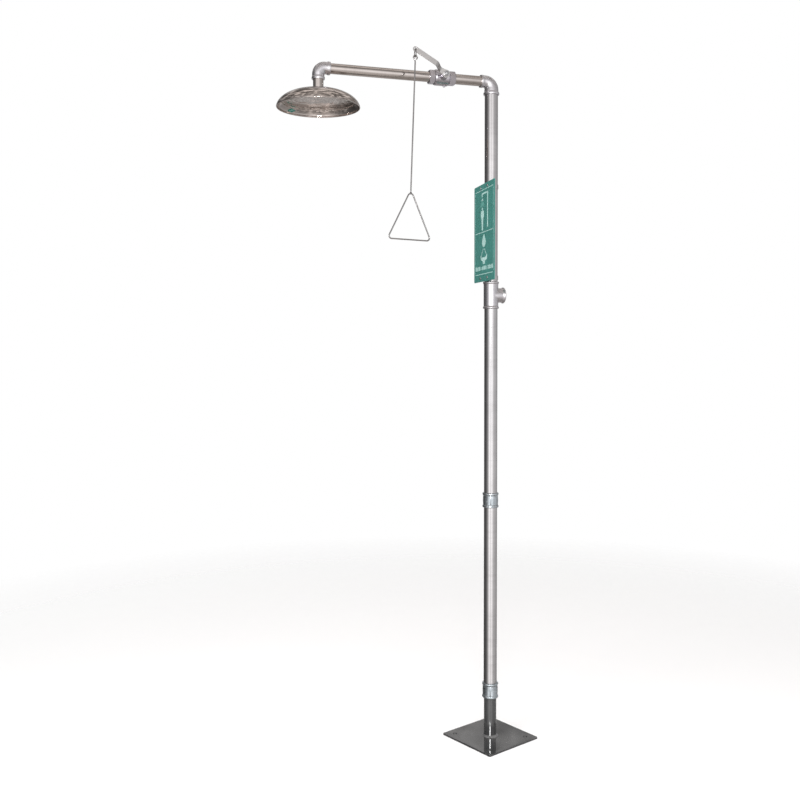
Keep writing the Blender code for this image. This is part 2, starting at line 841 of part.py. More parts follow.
def rounded_triangle(apex_z, base_z, half_width, corner):
    """The handle's centre line: an isosceles triangle with round corners, apex up."""
    corners = [Vector((0, 0, apex_z)), Vector((-half_width, 0, base_z)), Vector((half_width, 0, base_z))]
    points = []
    for i, here in enumerate(corners):
        to_last = (corners[i - 1] - here).normalized()
        to_next = (corners[(i + 1) % 3] - here).normalized()
        half = to_last.angle(to_next) / 2
        centre = here + (to_last + to_next).normalized() * corner / math.sin(half)
        start = (here + to_last * corner / math.tan(half) - centre).normalized()
        end = (here + to_next * corner / math.tan(half) - centre).normalized()
        for step in range(CORNER_STEPS + 1):
            points.append(centre + start.slerp(end, step / CORNER_STEPS) * corner)
    return points


def pull_rod_and_handle(parts):
    """Both hang from the lower end of the link and share its axis."""
    axis = bpy.data.objects.new("pull_axis", None)
    place(
        axis,
        parts,
        location=link_hole_place() - Vector((0, 0, LINK_LENGTH)),
        rotation=(0, ROD_LEAN, 0),
    )
    eye_centre = LINK_WIRE + ROD_RADIUS + EYE_CLEARANCE - EYE_RADIUS
    points = [(0, 0, -APEX_DROP + ROD_RADIUS + GAP), (0, 0, -APEX_DROP / 2)]
    points += [(x * EYE_RADIUS, 0, eye_centre + z * EYE_RADIUS) for x, z in EYE_NECK]
    points += arc((0, eye_centre), EYE_RADIUS, *EYE_ARC, EYE_STEPS)
    wire(
        "pull_rod",
        points,
        ROD_RADIUS,
        resolution=2,
        collection=parts,
        finish=polished_stainless(),
        parent=axis,
    )
    apex = -APEX_DROP
    lift = HANDLE_CORNER / math.sin(math.atan(HANDLE_WIDTH / 2 / HANDLE_HEIGHT)) - HANDLE_CORNER
    outline = rounded_triangle(apex + lift, apex - HANDLE_HEIGHT, HANDLE_WIDTH / 2, HANDLE_CORNER)
    lowered = [point - Vector((0, 0, ROD_RADIUS)) for point in outline]
    wire(
        "pull_handle",
        lowered,
        ROD_RADIUS,
        cyclic=True,
        resolution=2,
        collection=parts,
        finish=polished_stainless(),
        parent=axis,
    )


def dome_side():
    """The dome's outer side from its neck down to the rim."""
    neck = ARM_RADIUS + GAP
    points = []
    for i in range(DOME_STEPS + 1):
        angle = math.radians(90 * i / DOME_STEPS)
        radius = neck + (HEAD_RADIUS - neck) * math.sin(angle) ** DOME_WIDTH_POWER
        height = HEAD_RISE * max(0, math.cos(angle)) ** DOME_HEIGHT_POWER
        points.append(Vector((radius, HEAD_RIM + height)))
    return points


def inward(side, distance):
    """The same side moved in by distance, square to itself; the two ends stay level and upright."""
    moved = [side[0] - Vector((0, distance))]
    for before, here, after in zip(side, side[1:], side[2:]):
        along = (after - before).normalized()
        moved.append(here + Vector((along.y, -along.x)) * distance)
    return moved + [side[-1] - Vector((distance, 0))]


def shower_head(parts):
    place_x = (-ARM_REACH, 0, 0)
    outside = dome_side()
    inside = inward(outside, HEAD_SHEET)
    turned(
        "shower_head_dome",
        outside + inside[::-1],
        HEAD_STEPS,
        collection=parts,
        finish=polished_stainless(),
        location=place_x,
    )
    level = HEAD_RIM + SPRAY_PLATE_RECESS
    top = level + SPRAY_PLATE_SHEET
    edge = SPRAY_PLATE_RADIUS
    lip = edge - SPRAY_PLATE_SHEET
    plate = [(SPRAY_PLATE_HOLE, top), (edge, top), (edge, level - SPRAY_PLATE_LIP)]
    plate += [(lip, level - SPRAY_PLATE_LIP), (lip, level), (SPRAY_PLATE_HOLE, level)]
    turned("spray_plate", plate, HEAD_STEPS, collection=parts, finish=polished_stainless(), location=place_x)
    socket_top = HEAD_RIM + HEAD_RISE - HEAD_SHEET - 2 * GAP
    pipe(
        "head_inlet_socket",
        SOCKET_RADIUS,
        ARM_RADIUS + GAP,
        socket_top - SOCKET_LENGTH,
        socket_top,
        FITTING_STEPS,
        collection=parts,
        finish=valve_steel(),
        location=place_x,
    )
    pipe(
        "head_nipple",
        ARM_RADIUS,
        ARM_BORE,
        socket_top - SOCKET_THREAD,
        ARM_HEIGHT - HEAD_ELBOW_REACH + ARM_THREAD,
        collection=parts,
        finish=polished_stainless(),
        location=place_x,
    )


def clamp_outline():
    """The strap seen from above: round the back of the cover tube, with an ear out to each side."""
    bore = COVER_RADIUS + GAP
    ear_front = -SIGN_BACK + EAR_GAP
    ear_back = ear_front + CLAMP_SHEET
    outer_end = math.degrees(math.acos(ear_back / (bore + CLAMP_SHEET)))
    inner_end = math.degrees(math.acos(ear_front / bore))
    outer = arc((0, 0), bore + CLAMP_SHEET, outer_end, -outer_end, CLAMP_STEPS)
    inner = arc((0, 0), bore, -inner_end, inner_end, CLAMP_STEPS)
    tip = COVER_RADIUS + EAR_LENGTH
    outline = [(ear_back, tip)] + [(x, y) for x, _, y in outer] + [(ear_back, -tip), (ear_front, -tip)]
    return outline + [(x, y) for x, _, y in inner] + [(ear_front, tip)]


def sign_clamp(name, height, parts, cutters, axis):
    """A strap behind the riser with an ear on each side, bolted through to the sign."""
    curve = bpy.data.curves.new(name, "CURVE")
    curve.dimensions = "2D"
    curve.fill_mode = "BOTH"
    curve.extrude = CLAMP_WIDTH / 2
    spline = curve.splines.new("POLY")
    outline = clamp_outline()
    spline.points.add(len(outline) - 1)
    for point, (x, y) in zip(spline.points, outline):
        point.co = (x, y, 0, 1)
    spline.use_cyclic_u = True
    bent = bpy.data.objects.new(name, curve)
    strap = meshed(place(bent, parts, location=(0, 0, height), rotation=(0, 0, SIGN_TURN)))
    strap.data.materials.append(brushed_stainless())
    cut(strap, bolt_holes(f"{name}_holes", cutters, axis))


def at_bolt_places(obj, axis):
    """Repeats a fastener that lies along the sign's X axis at all four bolt places."""
    lower, upper = sorted(CLAMP_HEIGHTS.values())
    obj.location = (0, BOLT_SPREAD, lower)
    obj.rotation_euler = ALONG_X
    obj.parent = axis
    mirror = obj.modifiers.new("other_side", "MIRROR")
    mirror.use_axis = (False, True, False)
    mirror.mirror_object = axis
    mirror.use_mirror_merge = False
    repeat = obj.modifiers.new("upper_pair", "ARRAY")
    repeat.count = 2
    repeat.use_relative_offset = False
    repeat.use_constant_offset = True
    repeat.constant_offset_displace = (lower - upper, 0, 0)
    return obj


def bolt_holes(name, cutters, axis):
    hole = solid_cylinder(name, BOLT_RADIUS + GAP, *BOLT_HOLE_SPAN, BOLT_STEPS, collection=cutters)
    return at_bolt_places(hole, axis)


def sign(parts, cutters):
    axis = bpy.data.objects.new("sign_axis", None)
    place(axis, parts, rotation=(0, 0, SIGN_TURN))
    plate = solid_box(
        "sign_plate",
        (SIGN_THICKNESS, SIGN_WIDTH, SIGN_HEIGHT),
        (-SIGN_BACK - SIGN_THICKNESS / 2, 0, SIGN_BOTTOM + SIGN_HEIGHT / 2),
        collection=parts,
        finish=sign_green(),
        parent=axis,
    )
    cut(plate, bolt_holes("sign_holes", cutters, axis))
    for name, height in CLAMP_HEIGHTS.items():
        sign_clamp(name, height, parts, cutters, axis)
    sign_fasteners(parts, cutters, axis)


def sign_fasteners(parts, cutters, axis):
    front = -SIGN_BACK - SIGN_THICKNESS - GAP
    ear_back = -SIGN_BACK + EAR_GAP + CLAMP_SHEET
    spots = [(side * BOLT_SPREAD, height) for height in CLAMP_HEIGHTS.values() for side in (-1, 1)]
    for i, (y, z) in enumerate(spots, start=1):
        here = {"location": (0, y, z), "rotation": ALONG_X, "parent": axis}
        shank = (BOLT_RADIUS, front - JOIN_DEPTH / 2, ear_back + BOLT_PAST_EAR)
        bolt = solid_cylinder(
            f"sign_bolt_{i}", *shank, BOLT_STEPS, collection=parts, finish=valve_steel(), **here
        )
        head = (BOLT_HEAD, front - BOLT_HEAD_HEIGHT, front)
        join(bolt, solid_cylinder(f"bolt_head_{i}", *head, BOLT_HEAD_STEPS, collection=cutters, **here))
        body = (BOLT_HEAD, ear_back + GAP, ear_back + SIGN_NUT_HEIGHT)
        nut = solid_cylinder(f"sign_nut_{i}", *body, 6, collection=parts, finish=valve_steel(), **here)
        hole = (BOLT_RADIUS + GAP, *BOLT_HOLE_SPAN)
        cut(nut, solid_cylinder(f"nut_hole_{i}", *hole, BOLT_STEPS, collection=cutters, **here))


def main():
    clear_scene()
    parts = new_collection("drench_shower_stand")
    cutters = new_collection("cutters")
    base(parts, cutters)
    coupling("lower_coupling", LOWER_COUPLING, parts)
    coupling("middle_coupling", MIDDLE_COUPLING, parts)
    post_mouth = ARM_HEIGHT - POST_ELBOW_DROP
    riser_section("lower", LOWER_COUPLING, MIDDLE_COUPLING, parts)
    riser_section("middle", MIDDLE_COUPLING, TEE, parts)
    riser_section("upper", TEE, (post_mouth, 0), parts, high_thread=POST_ELBOW_THREAD)
    inlet_tee(parts, cutters)
    elbows(parts, cutters)
    arm_pipes(parts)
    valve_housing(parts, cutters)
    ball_and_seats(parts, cutters)
    stem_and_gland(parts, cutters)
    lever(parts, cutters)
    pull_link(parts)
    pull_rod_and_handle(parts)
    shower_head(parts)
    sign(parts, cutters)


main()
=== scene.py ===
import json
import math

import bmesh
import bpy
from mathutils import Matrix, Vector, noise
from mathutils.geometry import tessellate_polygon


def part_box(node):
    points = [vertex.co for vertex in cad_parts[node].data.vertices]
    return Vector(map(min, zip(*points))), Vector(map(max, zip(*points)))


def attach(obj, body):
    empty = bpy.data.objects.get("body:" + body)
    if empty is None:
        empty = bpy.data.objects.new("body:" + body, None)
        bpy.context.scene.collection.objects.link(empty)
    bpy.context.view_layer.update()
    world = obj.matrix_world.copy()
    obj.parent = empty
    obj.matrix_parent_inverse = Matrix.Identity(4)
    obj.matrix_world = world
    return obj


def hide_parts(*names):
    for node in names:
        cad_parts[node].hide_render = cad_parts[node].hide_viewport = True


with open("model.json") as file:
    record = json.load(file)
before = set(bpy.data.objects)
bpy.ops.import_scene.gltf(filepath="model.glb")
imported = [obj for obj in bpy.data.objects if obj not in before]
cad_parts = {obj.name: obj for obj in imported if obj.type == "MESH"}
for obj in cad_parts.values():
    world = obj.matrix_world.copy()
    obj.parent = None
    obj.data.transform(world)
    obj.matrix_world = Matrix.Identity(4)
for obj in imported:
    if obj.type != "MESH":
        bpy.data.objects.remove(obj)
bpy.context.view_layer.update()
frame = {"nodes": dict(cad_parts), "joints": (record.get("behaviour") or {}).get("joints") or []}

MM = 0.001
QUARTER = math.pi / 2
FULL_TURN = 2 * math.pi

# Camera: lens, place, heading from +Y towards +X, downward pitch and upward shift
LENS = 42.293
SENSOR_WIDTH = 36
CAMERA_PLACE = (-1.2053, -2.9886, 1.35)
CAMERA_HEADING = math.radians(-16.446)
CAMERA_PITCH = math.radians(1.199)
CAMERA_SHIFT = -0.045

# Vertices this close are merged, and edges this short are dissolved
MERGE_DISTANCE = 0.001 * MM
SHORT_EDGE = 0.0001 * MM

# Steps round each kind of turned shape, and sides of a swept wire
PIPE_STEPS = 96
SMALL_STEPS = 48
HEAD_STEPS = 192
COUPLING_STEPS = 240
WELD_STEPS = 368
WIRE_SIDES = 20

# Clearance between the CAD's parts
GAP = 0.3 * MM

# Pipes: wall thicknesses, the rounding of a cut end, and a 1-1/4 inch pipe thread
COVER_WALL = 0.9 * MM
ARM_WALL = 2.8 * MM
RISER_WALL = 3.5 * MM
PIPE_LIP = 0.35 * MM
THREAD_PITCH = 2.31 * MM
THREAD_DEPTH = 0.9 * MM

# Base plate and weld
PLATE_CORNER = 4 * MM
PLATE_EDGE = 0.8 * MM
ANCHOR_INSET = 30 * MM
ANCHOR_RADIUS = 7 * MM
WELD_RIPPLES = 46
WELD_RIPPLE_DEPTH = 0.45 * MM
WELD_UNEVENNESS = 0.25 * MM

# Cast fittings: a bead at each mouth, its depth over the body, and how its profile is rounded
BEAD_HEIGHT = 8 * MM
BEAD_CREST = 0.5 * BEAD_HEIGHT
BEAD_FOOT = 1.15 * BEAD_HEIGHT
BEAD_DEPTH = 2.6 * MM
MOUTH_CHAMFER = 0.7 * MM
MOUTH_ROUND = 2.4 * MM
CREST_ROUND = 3 * MM
FOOT_ROUND = 2 * MM
SMALL_BODY = 19.8 * MM
SMALL_BEAD = 21.4 * MM

# Couplings: a broader bead, and low ribs that end this far from the mouths
COUPLING_BEAD_DEPTH = 2.8 * MM
RIB_HEIGHT = 1.3 * MM
RIB_END = 9 * MM
RIB_FADE = 2 * MM
RIB_PHASE = 0.35
RIB_NARROWNESS = 0.985
CAST_WAVE = 0.16 * MM

# Tee: its casting is remeshed and smoothed before the bores are cut
CASTING_VOXEL = 1.0 * MM
CASTING_SMOOTHS = 4
SOCKET_WALL = 8 * MM
SOCKET_THREAD_STEPS = 72

# Ball valve: hexagons, shoulders, and the boss and lug, which are as far out as these
VALVE_CORE = 11.5 * MM
VALVE_SHOULDER = 5 * MM
VALVE_HEX = 24.2 * MM
VALVE_HEX_FLAT = 21 * MM
VALVE_HEX_LENGTH = 20 * MM
BOSS_RADIUS = 11 * MM
BOSS_ROOT_RADIUS = 14.5 * MM
BOSS_START = 12 * MM
BOSS_END = 40 * MM
LUG_RADIUS = 4 * MM
LUG_OFFSET = 10 * MM
LUG_HEIGHT = 9 * MM
GLAND_RADIUS = 13.5 * MM
GLAND_FLAT = 11.7 * MM
STEM_RADIUS = 5 * MM
STEM_CLEAR = 5.3 * MM
STEM_THREAD_START = 48 * MM
STEM_THREAD_PITCH = 1.0 * MM
STEM_THREAD_DEPTH = 0.45 * MM

# Lever: a strap with a round hub and a round tip, joggled between two places along it
HUB_RADIUS = 13 * MM
TIP_RADIUS = 8 * MM
HUB_ARC = (62, 298)
SHOULDER = (16 * MM, TIP_RADIUS + 1.2 * MM)
WAIST = (26 * MM, TIP_RADIUS)
LEVER_THICKNESS = 3 * MM
LEVER_BEVEL = 0.5 * MM
LEVER_CUTS = 49
LEVER_FIRST_CUT = 14.6 * MM
LEVER_CUT_STEP = 0.9 * MM
JOGGLE_START = 20 * MM
JOGGLE_END = 50 * MM
LINK_HOLE = 4 * MM
LEVER_NUT_RADIUS = 9.2 * MM
LEVER_NUT_FLAT = 7.97 * MM

# Pull rod, as multiples of the eye's radius where it bends, and its handle
ROD_LEAN = math.radians(2.0)
EYE_RADIUS = 6.25 * MM
EYE_NECK = ((-0.03, -2.2), (-0.09, -1.85), (-0.2, -1.5), (-0.36, -1.15))
EYE_SHANK = 2.6
EYE_ARC = (235, -60)
HANDLE_CORNER = 9 * MM
HANDLE_STEP = 12 * MM
HANDLE_FIT_ROUNDS = 30

# Shower head: spun sheet with a rolled rim, and drill rings this far apart
DOME_WIDTH_POWER = 0.91
DOME_HEIGHT_POWER = 1.11
DOME_ROWS = 46
DOME_SHEET = 1.2 * MM
RIM_ROLL = 1.5 * MM
SPRAY_SHEET = 1 * MM
SPRAY_RINGS = 9
SPRAY_RING_STEP = 12.2 * MM
SPRAY_HOLE = 1.1 * MM
SPRAY_HOLE_SIDES = 10
SPRAY_RING_TWIST = 9

# Sign: how it is turned on the riser, its own edges and holes, and the ink's height
SIGN_TURN = math.radians(-3.3)
SIGN_CORNER = 5 * MM
SIGN_BEVEL = 0.45 * MM
SIGN_HOLE = 2.8 * MM
INK_SINK = 0.02 * MM
INK_HEIGHT = 0.16 * MM
PALE_INK_HEIGHT = 0.12 * MM
INK_BEVEL = 0.05 * MM
INK_CORNER = 0.6 * MM

# Clamps and sign fasteners
CLAMP_SHEET = 1.5 * MM
CLAMP_BEVEL = 0.3 * MM
BOLT_RADIUS = 2.5 * MM
BOLT_HEAD = 4.6 * MM
BOLT_HEAD_HEIGHT = 3 * MM
BOLT_ROWS = 48
BOLT_THREAD_PITCH = 0.8 * MM
BOLT_THREAD_DEPTH = 0.35 * MM
SIGN_NUT_FLAT = 3.98 * MM

# Floor disc
FLOOR_RINGS = (0.3, 0.8, 1.6, 2.6, 3.8)
FLOOR_STEPS = 64
FLOOR_FADE = (0.9, 3.4)
FLOOR_DROP = 0.2 * MM


def box(node):
    low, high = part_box(node)
    return low, high, (low + high) / 2


def arc_points(centre, radius, start, end, count):
    """(x, y) points; angles in degrees from +X towards +Y."""
    made = []
    for i in range(count + 1):
        angle = math.radians(start + (end - start) * i / count)
        made.append((centre[0] + radius * math.cos(angle), centre[1] + radius * math.sin(angle)))
    return made


def filleted(outline, steps=4):
    """Rounds the corners of a closed outline of (x, y) or (x, y, fillet radius) points."""
    made = []
    count = len(outline)
    for i, corner in enumerate(outline):
        here = Vector(corner[:2])
        if len(corner) < 3:
            made.append(here)
            continue
        to_last = Vector(outline[i - 1][:2]) - here
        to_next = Vector(outline[(i + 1) % count][:2]) - here
        half = to_last.angle(to_next) / 2
        reach = min(corner[2] / math.tan(half), 0.49 * to_last.length, 0.49 * to_next.length)
        radius = reach * math.tan(half)
        a = to_last.normalized()
        b = to_next.normalized()
        centre = here + (a + b).normalized() * radius / math.sin(half)
        start = here + a * reach - centre
        end = here + b * reach - centre
        first = math.atan2(start.y, start.x)
        turn = math.atan2(start.x * end.y - start.y * end.x, start.dot(end))
        for s in range(steps + 1):
            angle = first + turn * s / steps
            made.append(centre + Vector((math.cos(angle), math.sin(angle))) * radius)
    return made


def mesh_piece(name, verts, faces, place=None, sharp=35, weighted=True):
    """A mesh object with outward faces; edges sharper than this many degrees stay sharp."""
    mesh = bpy.data.meshes.new(name)
    mesh.from_pydata([tuple(v) for v in verts], [], faces)
    shape = bmesh.new()
    shape.from_mesh(mesh)
    bmesh.ops.remove_doubles(shape, verts=shape.verts, dist=MERGE_DISTANCE)
    bmesh.ops.dissolve_degenerate(shape, edges=shape.edges, dist=SHORT_EDGE)
    bmesh.ops.recalc_face_normals(shape, faces=shape.faces)
    shape.to_mesh(mesh)
    shape.free()
    if place is not None:
        mesh.transform(place)
    obj = bpy.data.objects.new(name, mesh)
    bpy.context.scene.collection.objects.link(obj)
    return shaded(obj, sharp, weighted)


def shaded(obj, sharp=35, weighted=True):
    obj.data.shade_smooth()
    obj.data.set_sharp_from_angle(angle=math.radians(sharp))
    if weighted:
        modifier = obj.modifiers.new("normals", "WEIGHTED_NORMAL")
        modifier.keep_sharp = True
    return obj


def turned(name, outline, steps=PIPE_STEPS, place=None, relief=None, sharp=35, weighted=True):
    """A closed outline of (radius, height) points turned about Z.

    relief(angle, radius, height) gives the radius there instead.
    """
    verts = []
    faces = []
    count = len(outline)
    for i in range(steps):
        angle = FULL_TURN * i / steps
        for radius, height in outline:
            r = relief(angle, radius, height) if relief else radius
            verts.append((r * math.cos(angle), r * math.sin(angle), height))
    for i in range(steps):
        j = (i + 1) % steps
        for k in range(count):
            n = (k + 1) % count
            faces.append((i * count + k, i * count + n, j * count + n, j * count + k))
    return mesh_piece(name, verts, faces, place, sharp, weighted)


def swept(name, path, radii, normal, sides=24, closed=False, bores=None, place=None, sharp=45):
    """A round bar, or with bores a pipe, along points that lie in the plane square to normal."""
    normal = Vector(normal).normalized()
    count = len(path)
    path = [Vector(p) for p in path]

    def ring(i, radius):
        if closed:
            along = path[(i + 1) % count] - path[i - 1]
        else:
            along = path[min(i + 1, count - 1)] - path[max(i - 1, 0)]
        across = along.normalized().cross(normal).normalized()
        turns = [FULL_TURN * s / sides for s in range(sides)]
        return [path[i] + (normal * math.cos(t) + across * math.sin(t)) * radius for t in turns]

    rings = [ring(i, radii[i]) for i in range(count)]
    if bores:
        rings += [ring(i, bores[i]) for i in reversed(range(count))]
    verts = [v for r in rings for v in r]
    faces = []
    total = len(rings)
    for i in range(total if closed or bores else total - 1):
        j = (i + 1) % total
        for s in range(sides):
            t = (s + 1) % sides
            faces.append((i * sides + s, i * sides + t, j * sides + t, j * sides + s))
    if not closed and not bores:
        faces.append(tuple(range(sides)))
        faces.append(tuple((total - 1) * sides + s for s in reversed(range(sides))))
    return mesh_piece(name, verts, faces, place, sharp)


def offset_loop(loop, distance):
    """The loop moved to its left by distance, which is into the material for an anticlockwise outline."""
    made = []
    count = len(loop)
    for i in range(count):
        a = (loop[i] - loop[i - 1]).normalized()
        b = (loop[(i + 1) % count] - loop[i]).normalized()
        left = Vector((-a.y - b.y, a.x + b.x))
        length = left.length
        scale = 2 * distance / (length * length) if length > 0.2 else 0
        made.append(loop[i] + left * scale)
    return made


def slab(name, loops, low, high, bevel, place=None, steps=3, sharp=40):
    """A flat plate with rounded edges. The first loop is its outline, the others its holes."""
    loops = [[Vector(p[:2]) for p in loop] for loop in loops]
    for i, loop in enumerate(loops):
        area = sum(a.x * b.y - a.y * b.x for a, b in zip(loop, loop[1:] + loop[:1]))
        if (area > 0) != (i == 0):
            loop.reverse()
    levels = []
    for s in range(steps + 1):
        angle = QUARTER * s / steps
        levels.append((bevel * (1 - math.sin(angle)), high - bevel * (1 - math.cos(angle))))
    levels += [(inset, low + high - height) for inset, height in reversed(levels)]
    verts = []
    faces = []
    tops = []
    bottoms = []
    for loop in loops:
        size = len(loop)
        start = len(verts)
        for inset, height in levels:
            verts += [(p.x, p.y, height) for p in offset_loop(loop, inset)]
        for k in range(len(levels) - 1):
            for i in range(size):
                j = (i + 1) % size
                a = start + k * size
                faces.append((a + i, a + size + i, a + size + j, a + j))
        tops.append([start + i for i in range(size)])
        bottoms.append([start + (len(levels) - 1) * size + i for i in range(size)])
    for ends in (tops, bottoms):
        flat = [i for loop in ends for i in loop]
        corners = [[Vector(verts[i]) for i in loop] for loop in ends]
        faces += [tuple(flat[i] for i in face) for face in tessellate_polygon(corners)]
    return mesh_piece(name, verts, faces, place, sharp)


def baked(obj):
    """The object with its modifiers applied."""
    graph = bpy.context.evaluated_depsgraph_get()
    mesh = bpy.data.meshes.new_from_object(obj.evaluated_get(graph))
    old = obj.data
    obj.modifiers.clear()
    obj.data = mesh
    bpy.data.meshes.remove(old)
    return obj


def combined(obj, others, operation="UNION", sharp=35, weighted=True):
    """The object joined with the others, or cut by them; the others are used up."""
    for other in others:
        other.modifiers.clear()
        modifier = obj.modifiers.new("combine", "BOOLEAN")
        modifier.operation = operation
        modifier.solver = "EXACT"
        modifier.object = other
    for modifier in [m for m in obj.modifiers if m.type == "WEIGHTED_NORMAL"]:
        obj.modifiers.remove(modifier)
    bpy.context.view_layer.update()
    baked(obj)
    for other in others:
        bpy.data.objects.remove(other, do_unlink=True)
    return shaded(obj, sharp, weighted)


def merged(name, objects):
    """One object that holds the meshes of all of these."""
    shape = bmesh.new()
    for obj in objects:
        shape.from_mesh(obj.data)
    mesh = bpy.data.meshes.new(name)
    shape.to_mesh(mesh)
    shape.free()
    for obj in objects:
        bpy.data.objects.remove(obj, do_unlink=True)
    made = bpy.data.objects.new(name, mesh)
    bpy.context.scene.collection.objects.link(made)
    return shaded(made, 40)


def hexed(apothem, phase=0.0):
    """Relief that keeps a turned shape inside a hexagon."""
    sector = math.pi / 3

    def relief(angle, radius, height):
        within = (angle - phase + sector / 2) % sector - sector / 2
        return min(radius, apothem / math.cos(within))

    return relief


def threaded(low, high, depth, pitch=THREAD_PITCH, over=0.0):
    """Relief that cuts a V thread into radii above over, between two heights."""

    def relief(angle, radius, height):
        if radius < over or not low < height < high:
            return radius
        phase = (height / pitch - angle / FULL_TURN) % 1
        fade = min(1, (height - low) / pitch, (high - height) / pitch)
        return radius - depth * fade * (1 - abs(2 * phase - 1))

    return relief


def upright(x=0, y=0, z=0):
    return Matrix.Translation((x, y, z))


def along_x(z):
    """Local heights become world X."""
    return Matrix.Translation((0, 0, z)) @ Matrix.Rotation(QUARTER, 4, "Y")


def along_minus_y(x, z):
    """Local heights become distances in front of the arm's axis."""
    return Matrix.Translation((x, 0, z)) @ Matrix.Rotation(QUARTER, 4, "X")


def circle(x, y, radius, count=32):
    turns = [FULL_TURN * i / count for i in range(count)]
    return [Vector((x + radius * math.cos(t), y + radius * math.sin(t))) for t in turns]


HEAD_CENTRE = box("shower_head_dome")[2]


# ---------------------------------------------------------------- materials


class Nodes:
    """Builds one material's nodes; the shader's plain values are set on its own sockets."""

    def __init__(self, name, **values):
        self.material = bpy.data.materials.new(name)
        self.material.use_nodes = True
        self.tree = self.material.node_tree
        self.shader = self.tree.nodes["Principled BSDF"]
        for key, value in values.items():
            self.shader.inputs[key.replace("_", " ")].default_value = value
        self.place = self.add("ShaderNodeTexCoord").outputs["Object"]

    def add(self, kind, settings=None, **sockets):
        node = self.tree.nodes.new(kind)
        for key, value in (settings or {}).items():
            setattr(node, key, value)
        for key, value in sockets.items():
            self.put(node.inputs[key.replace("_", " ")], value)
        return node

    def put(self, socket, value):
        if isinstance(value, bpy.types.NodeSocket):
            self.tree.links.new(value, socket)
        else:
            socket.default_value = value

    def stretched(self, scale):
        node = self.add("ShaderNodeMapping", {"vector_type": "POINT"}, Vector=self.place, Scale=scale)
        return node.outputs[0]

    def grain(self, scale=1.0, vector=None, detail=3.0, roughness=0.5, distortion=0.0):
        node = self.add(
            "ShaderNodeTexNoise",
            Vector=vector or self.place,
            Scale=scale,
            Detail=detail,
            Roughness=roughness,
            Distortion=distortion,
        )
        return node.outputs["Fac"]

    def spread(self, value, low, high, start=0.0, end=1.0):
        node = self.add("ShaderNodeMapRange", Value=value)
        node.inputs["From Min"].default_value = start
        node.inputs["From Max"].default_value = end
        node.inputs["To Min"].default_value = low
        node.inputs["To Max"].default_value = high
        return node.outputs["Result"]

    def blend(self, share, first, second):
        node = self.add("ShaderNodeMix", {"data_type": "RGBA"})
        self.put(node.inputs[0], share)
        for socket, colour in ((node.inputs[6], first), (node.inputs[7], second)):
            self.put(socket, colour if isinstance(colour, bpy.types.NodeSocket) else (*colour, 1))
        return node.outputs[2]

    def maths(self, operation, first, second):
        node = self.add("ShaderNodeMath", {"operation": operation})
        self.put(node.inputs[0], first)
        self.put(node.inputs[1], second)
        return node.outputs[0]

    def bump(self, height, strength, distance, under=None):
        node = self.add("ShaderNodeBump", Height=height, Strength=strength, Distance=distance)
        if under is not None:
            self.put(node.inputs["Normal"], under)
        return node.outputs["Normal"]

    def from_axis(self, centre):
        """Distance from a vertical axis."""
        gone = self.add("ShaderNodeVectorMath", {"operation": "SUBTRACT"})
        self.put(gone.inputs[0], self.place)
        gone.inputs[1].default_value = centre
        flat = self.add("ShaderNodeVectorMath", {"operation": "MULTIPLY"})
        self.put(flat.inputs[0], gone.outputs[0])
        flat.inputs[1].default_value = (1, 1, 0)
        length = self.add("ShaderNodeVectorMath", {"operation": "LENGTH"})
        self.put(length.inputs[0], flat.outputs[0])
        return length.outputs["Value"]

    def set(self, **links):
        for key, value in links.items():
            self.put(self.shader.inputs[key.replace("_", " ")], value)
        return self.material


def times(factor, colour):
    return tuple(factor * c for c in colour)


def painted(name, colour, dust, roughness, peel):
    """Black enamel: orange peel, a haze of dust, and bare edges worn lighter."""
    n = Nodes(name, Coat_Weight=1.0, Coat_IOR=1.6, Coat_Roughness=0.035)
    haze = n.grain(9.0, detail=6.0, roughness=0.62)
    specks = n.spread(n.grain(420.0, detail=2.0), 0, 1, 0.62, 0.72)
    base = n.blend(n.spread(haze, 0, 1, 0.42, 0.75), colour, dust)
    worn = n.add("ShaderNodeNewGeometry").outputs["Pointiness"]
    chips = n.spread(n.grain(160.0), 0, 1, 0.45, 0.6)
    edge = n.maths("MULTIPLY", n.spread(worn, 0, 0.6, 0.53, 0.6), chips)
    base = n.blend(edge, base, tuple(4 * c + 0.05 for c in colour))
    base = n.blend(n.maths("MULTIPLY", specks, 0.35), base, tuple(3 * c + 0.04 for c in dust))
    rough = n.spread(haze, roughness - 0.02, roughness + 0.1, 0.3, 0.75)
    normal = n.bump(n.grain(650.0, detail=1.0), peel, 0.00006)
    return n.set(Base_Color=base, Roughness=rough, Normal=normal)


def metal(name, bright, dull, roughness, spread, lines, line_depth, soft=0.0):
    """Drawn or ground metal: fine lines along one direction, drifting tone and faint smears."""
    n = Nodes(name, Metallic=1.0)
    drift = n.grain(14.0, detail=5.0, roughness=0.6)
    scratches = n.grain(1.0, n.stretched(lines), detail=4.0, roughness=0.7)
    smears = n.grain(1.0, n.stretched(tuple(v * 0.06 + 3 for v in lines)), detail=3.0, distortion=0.6)
    base = n.blend(n.spread(drift, 0, 1, 0.32, 0.7), bright, dull)
    smear = n.maths("MULTIPLY", n.spread(smears, 0, 1, 0.5, 0.75), 0.25)
    base = n.blend(smear, base, times(0.72, dull))
    rough = n.spread(drift, roughness - spread, roughness + spread, 0.3, 0.7)
    rough = n.maths("ADD", rough, n.spread(scratches, -0.03, 0.04, 0.3, 0.7))
    normal = n.bump(scratches, line_depth, 0.00002)
    if soft:
        normal = n.bump(n.grain(23.8, detail=2.0), soft, 0.0006, under=normal)
    return n.set(Base_Color=base, Roughness=rough, Normal=normal)


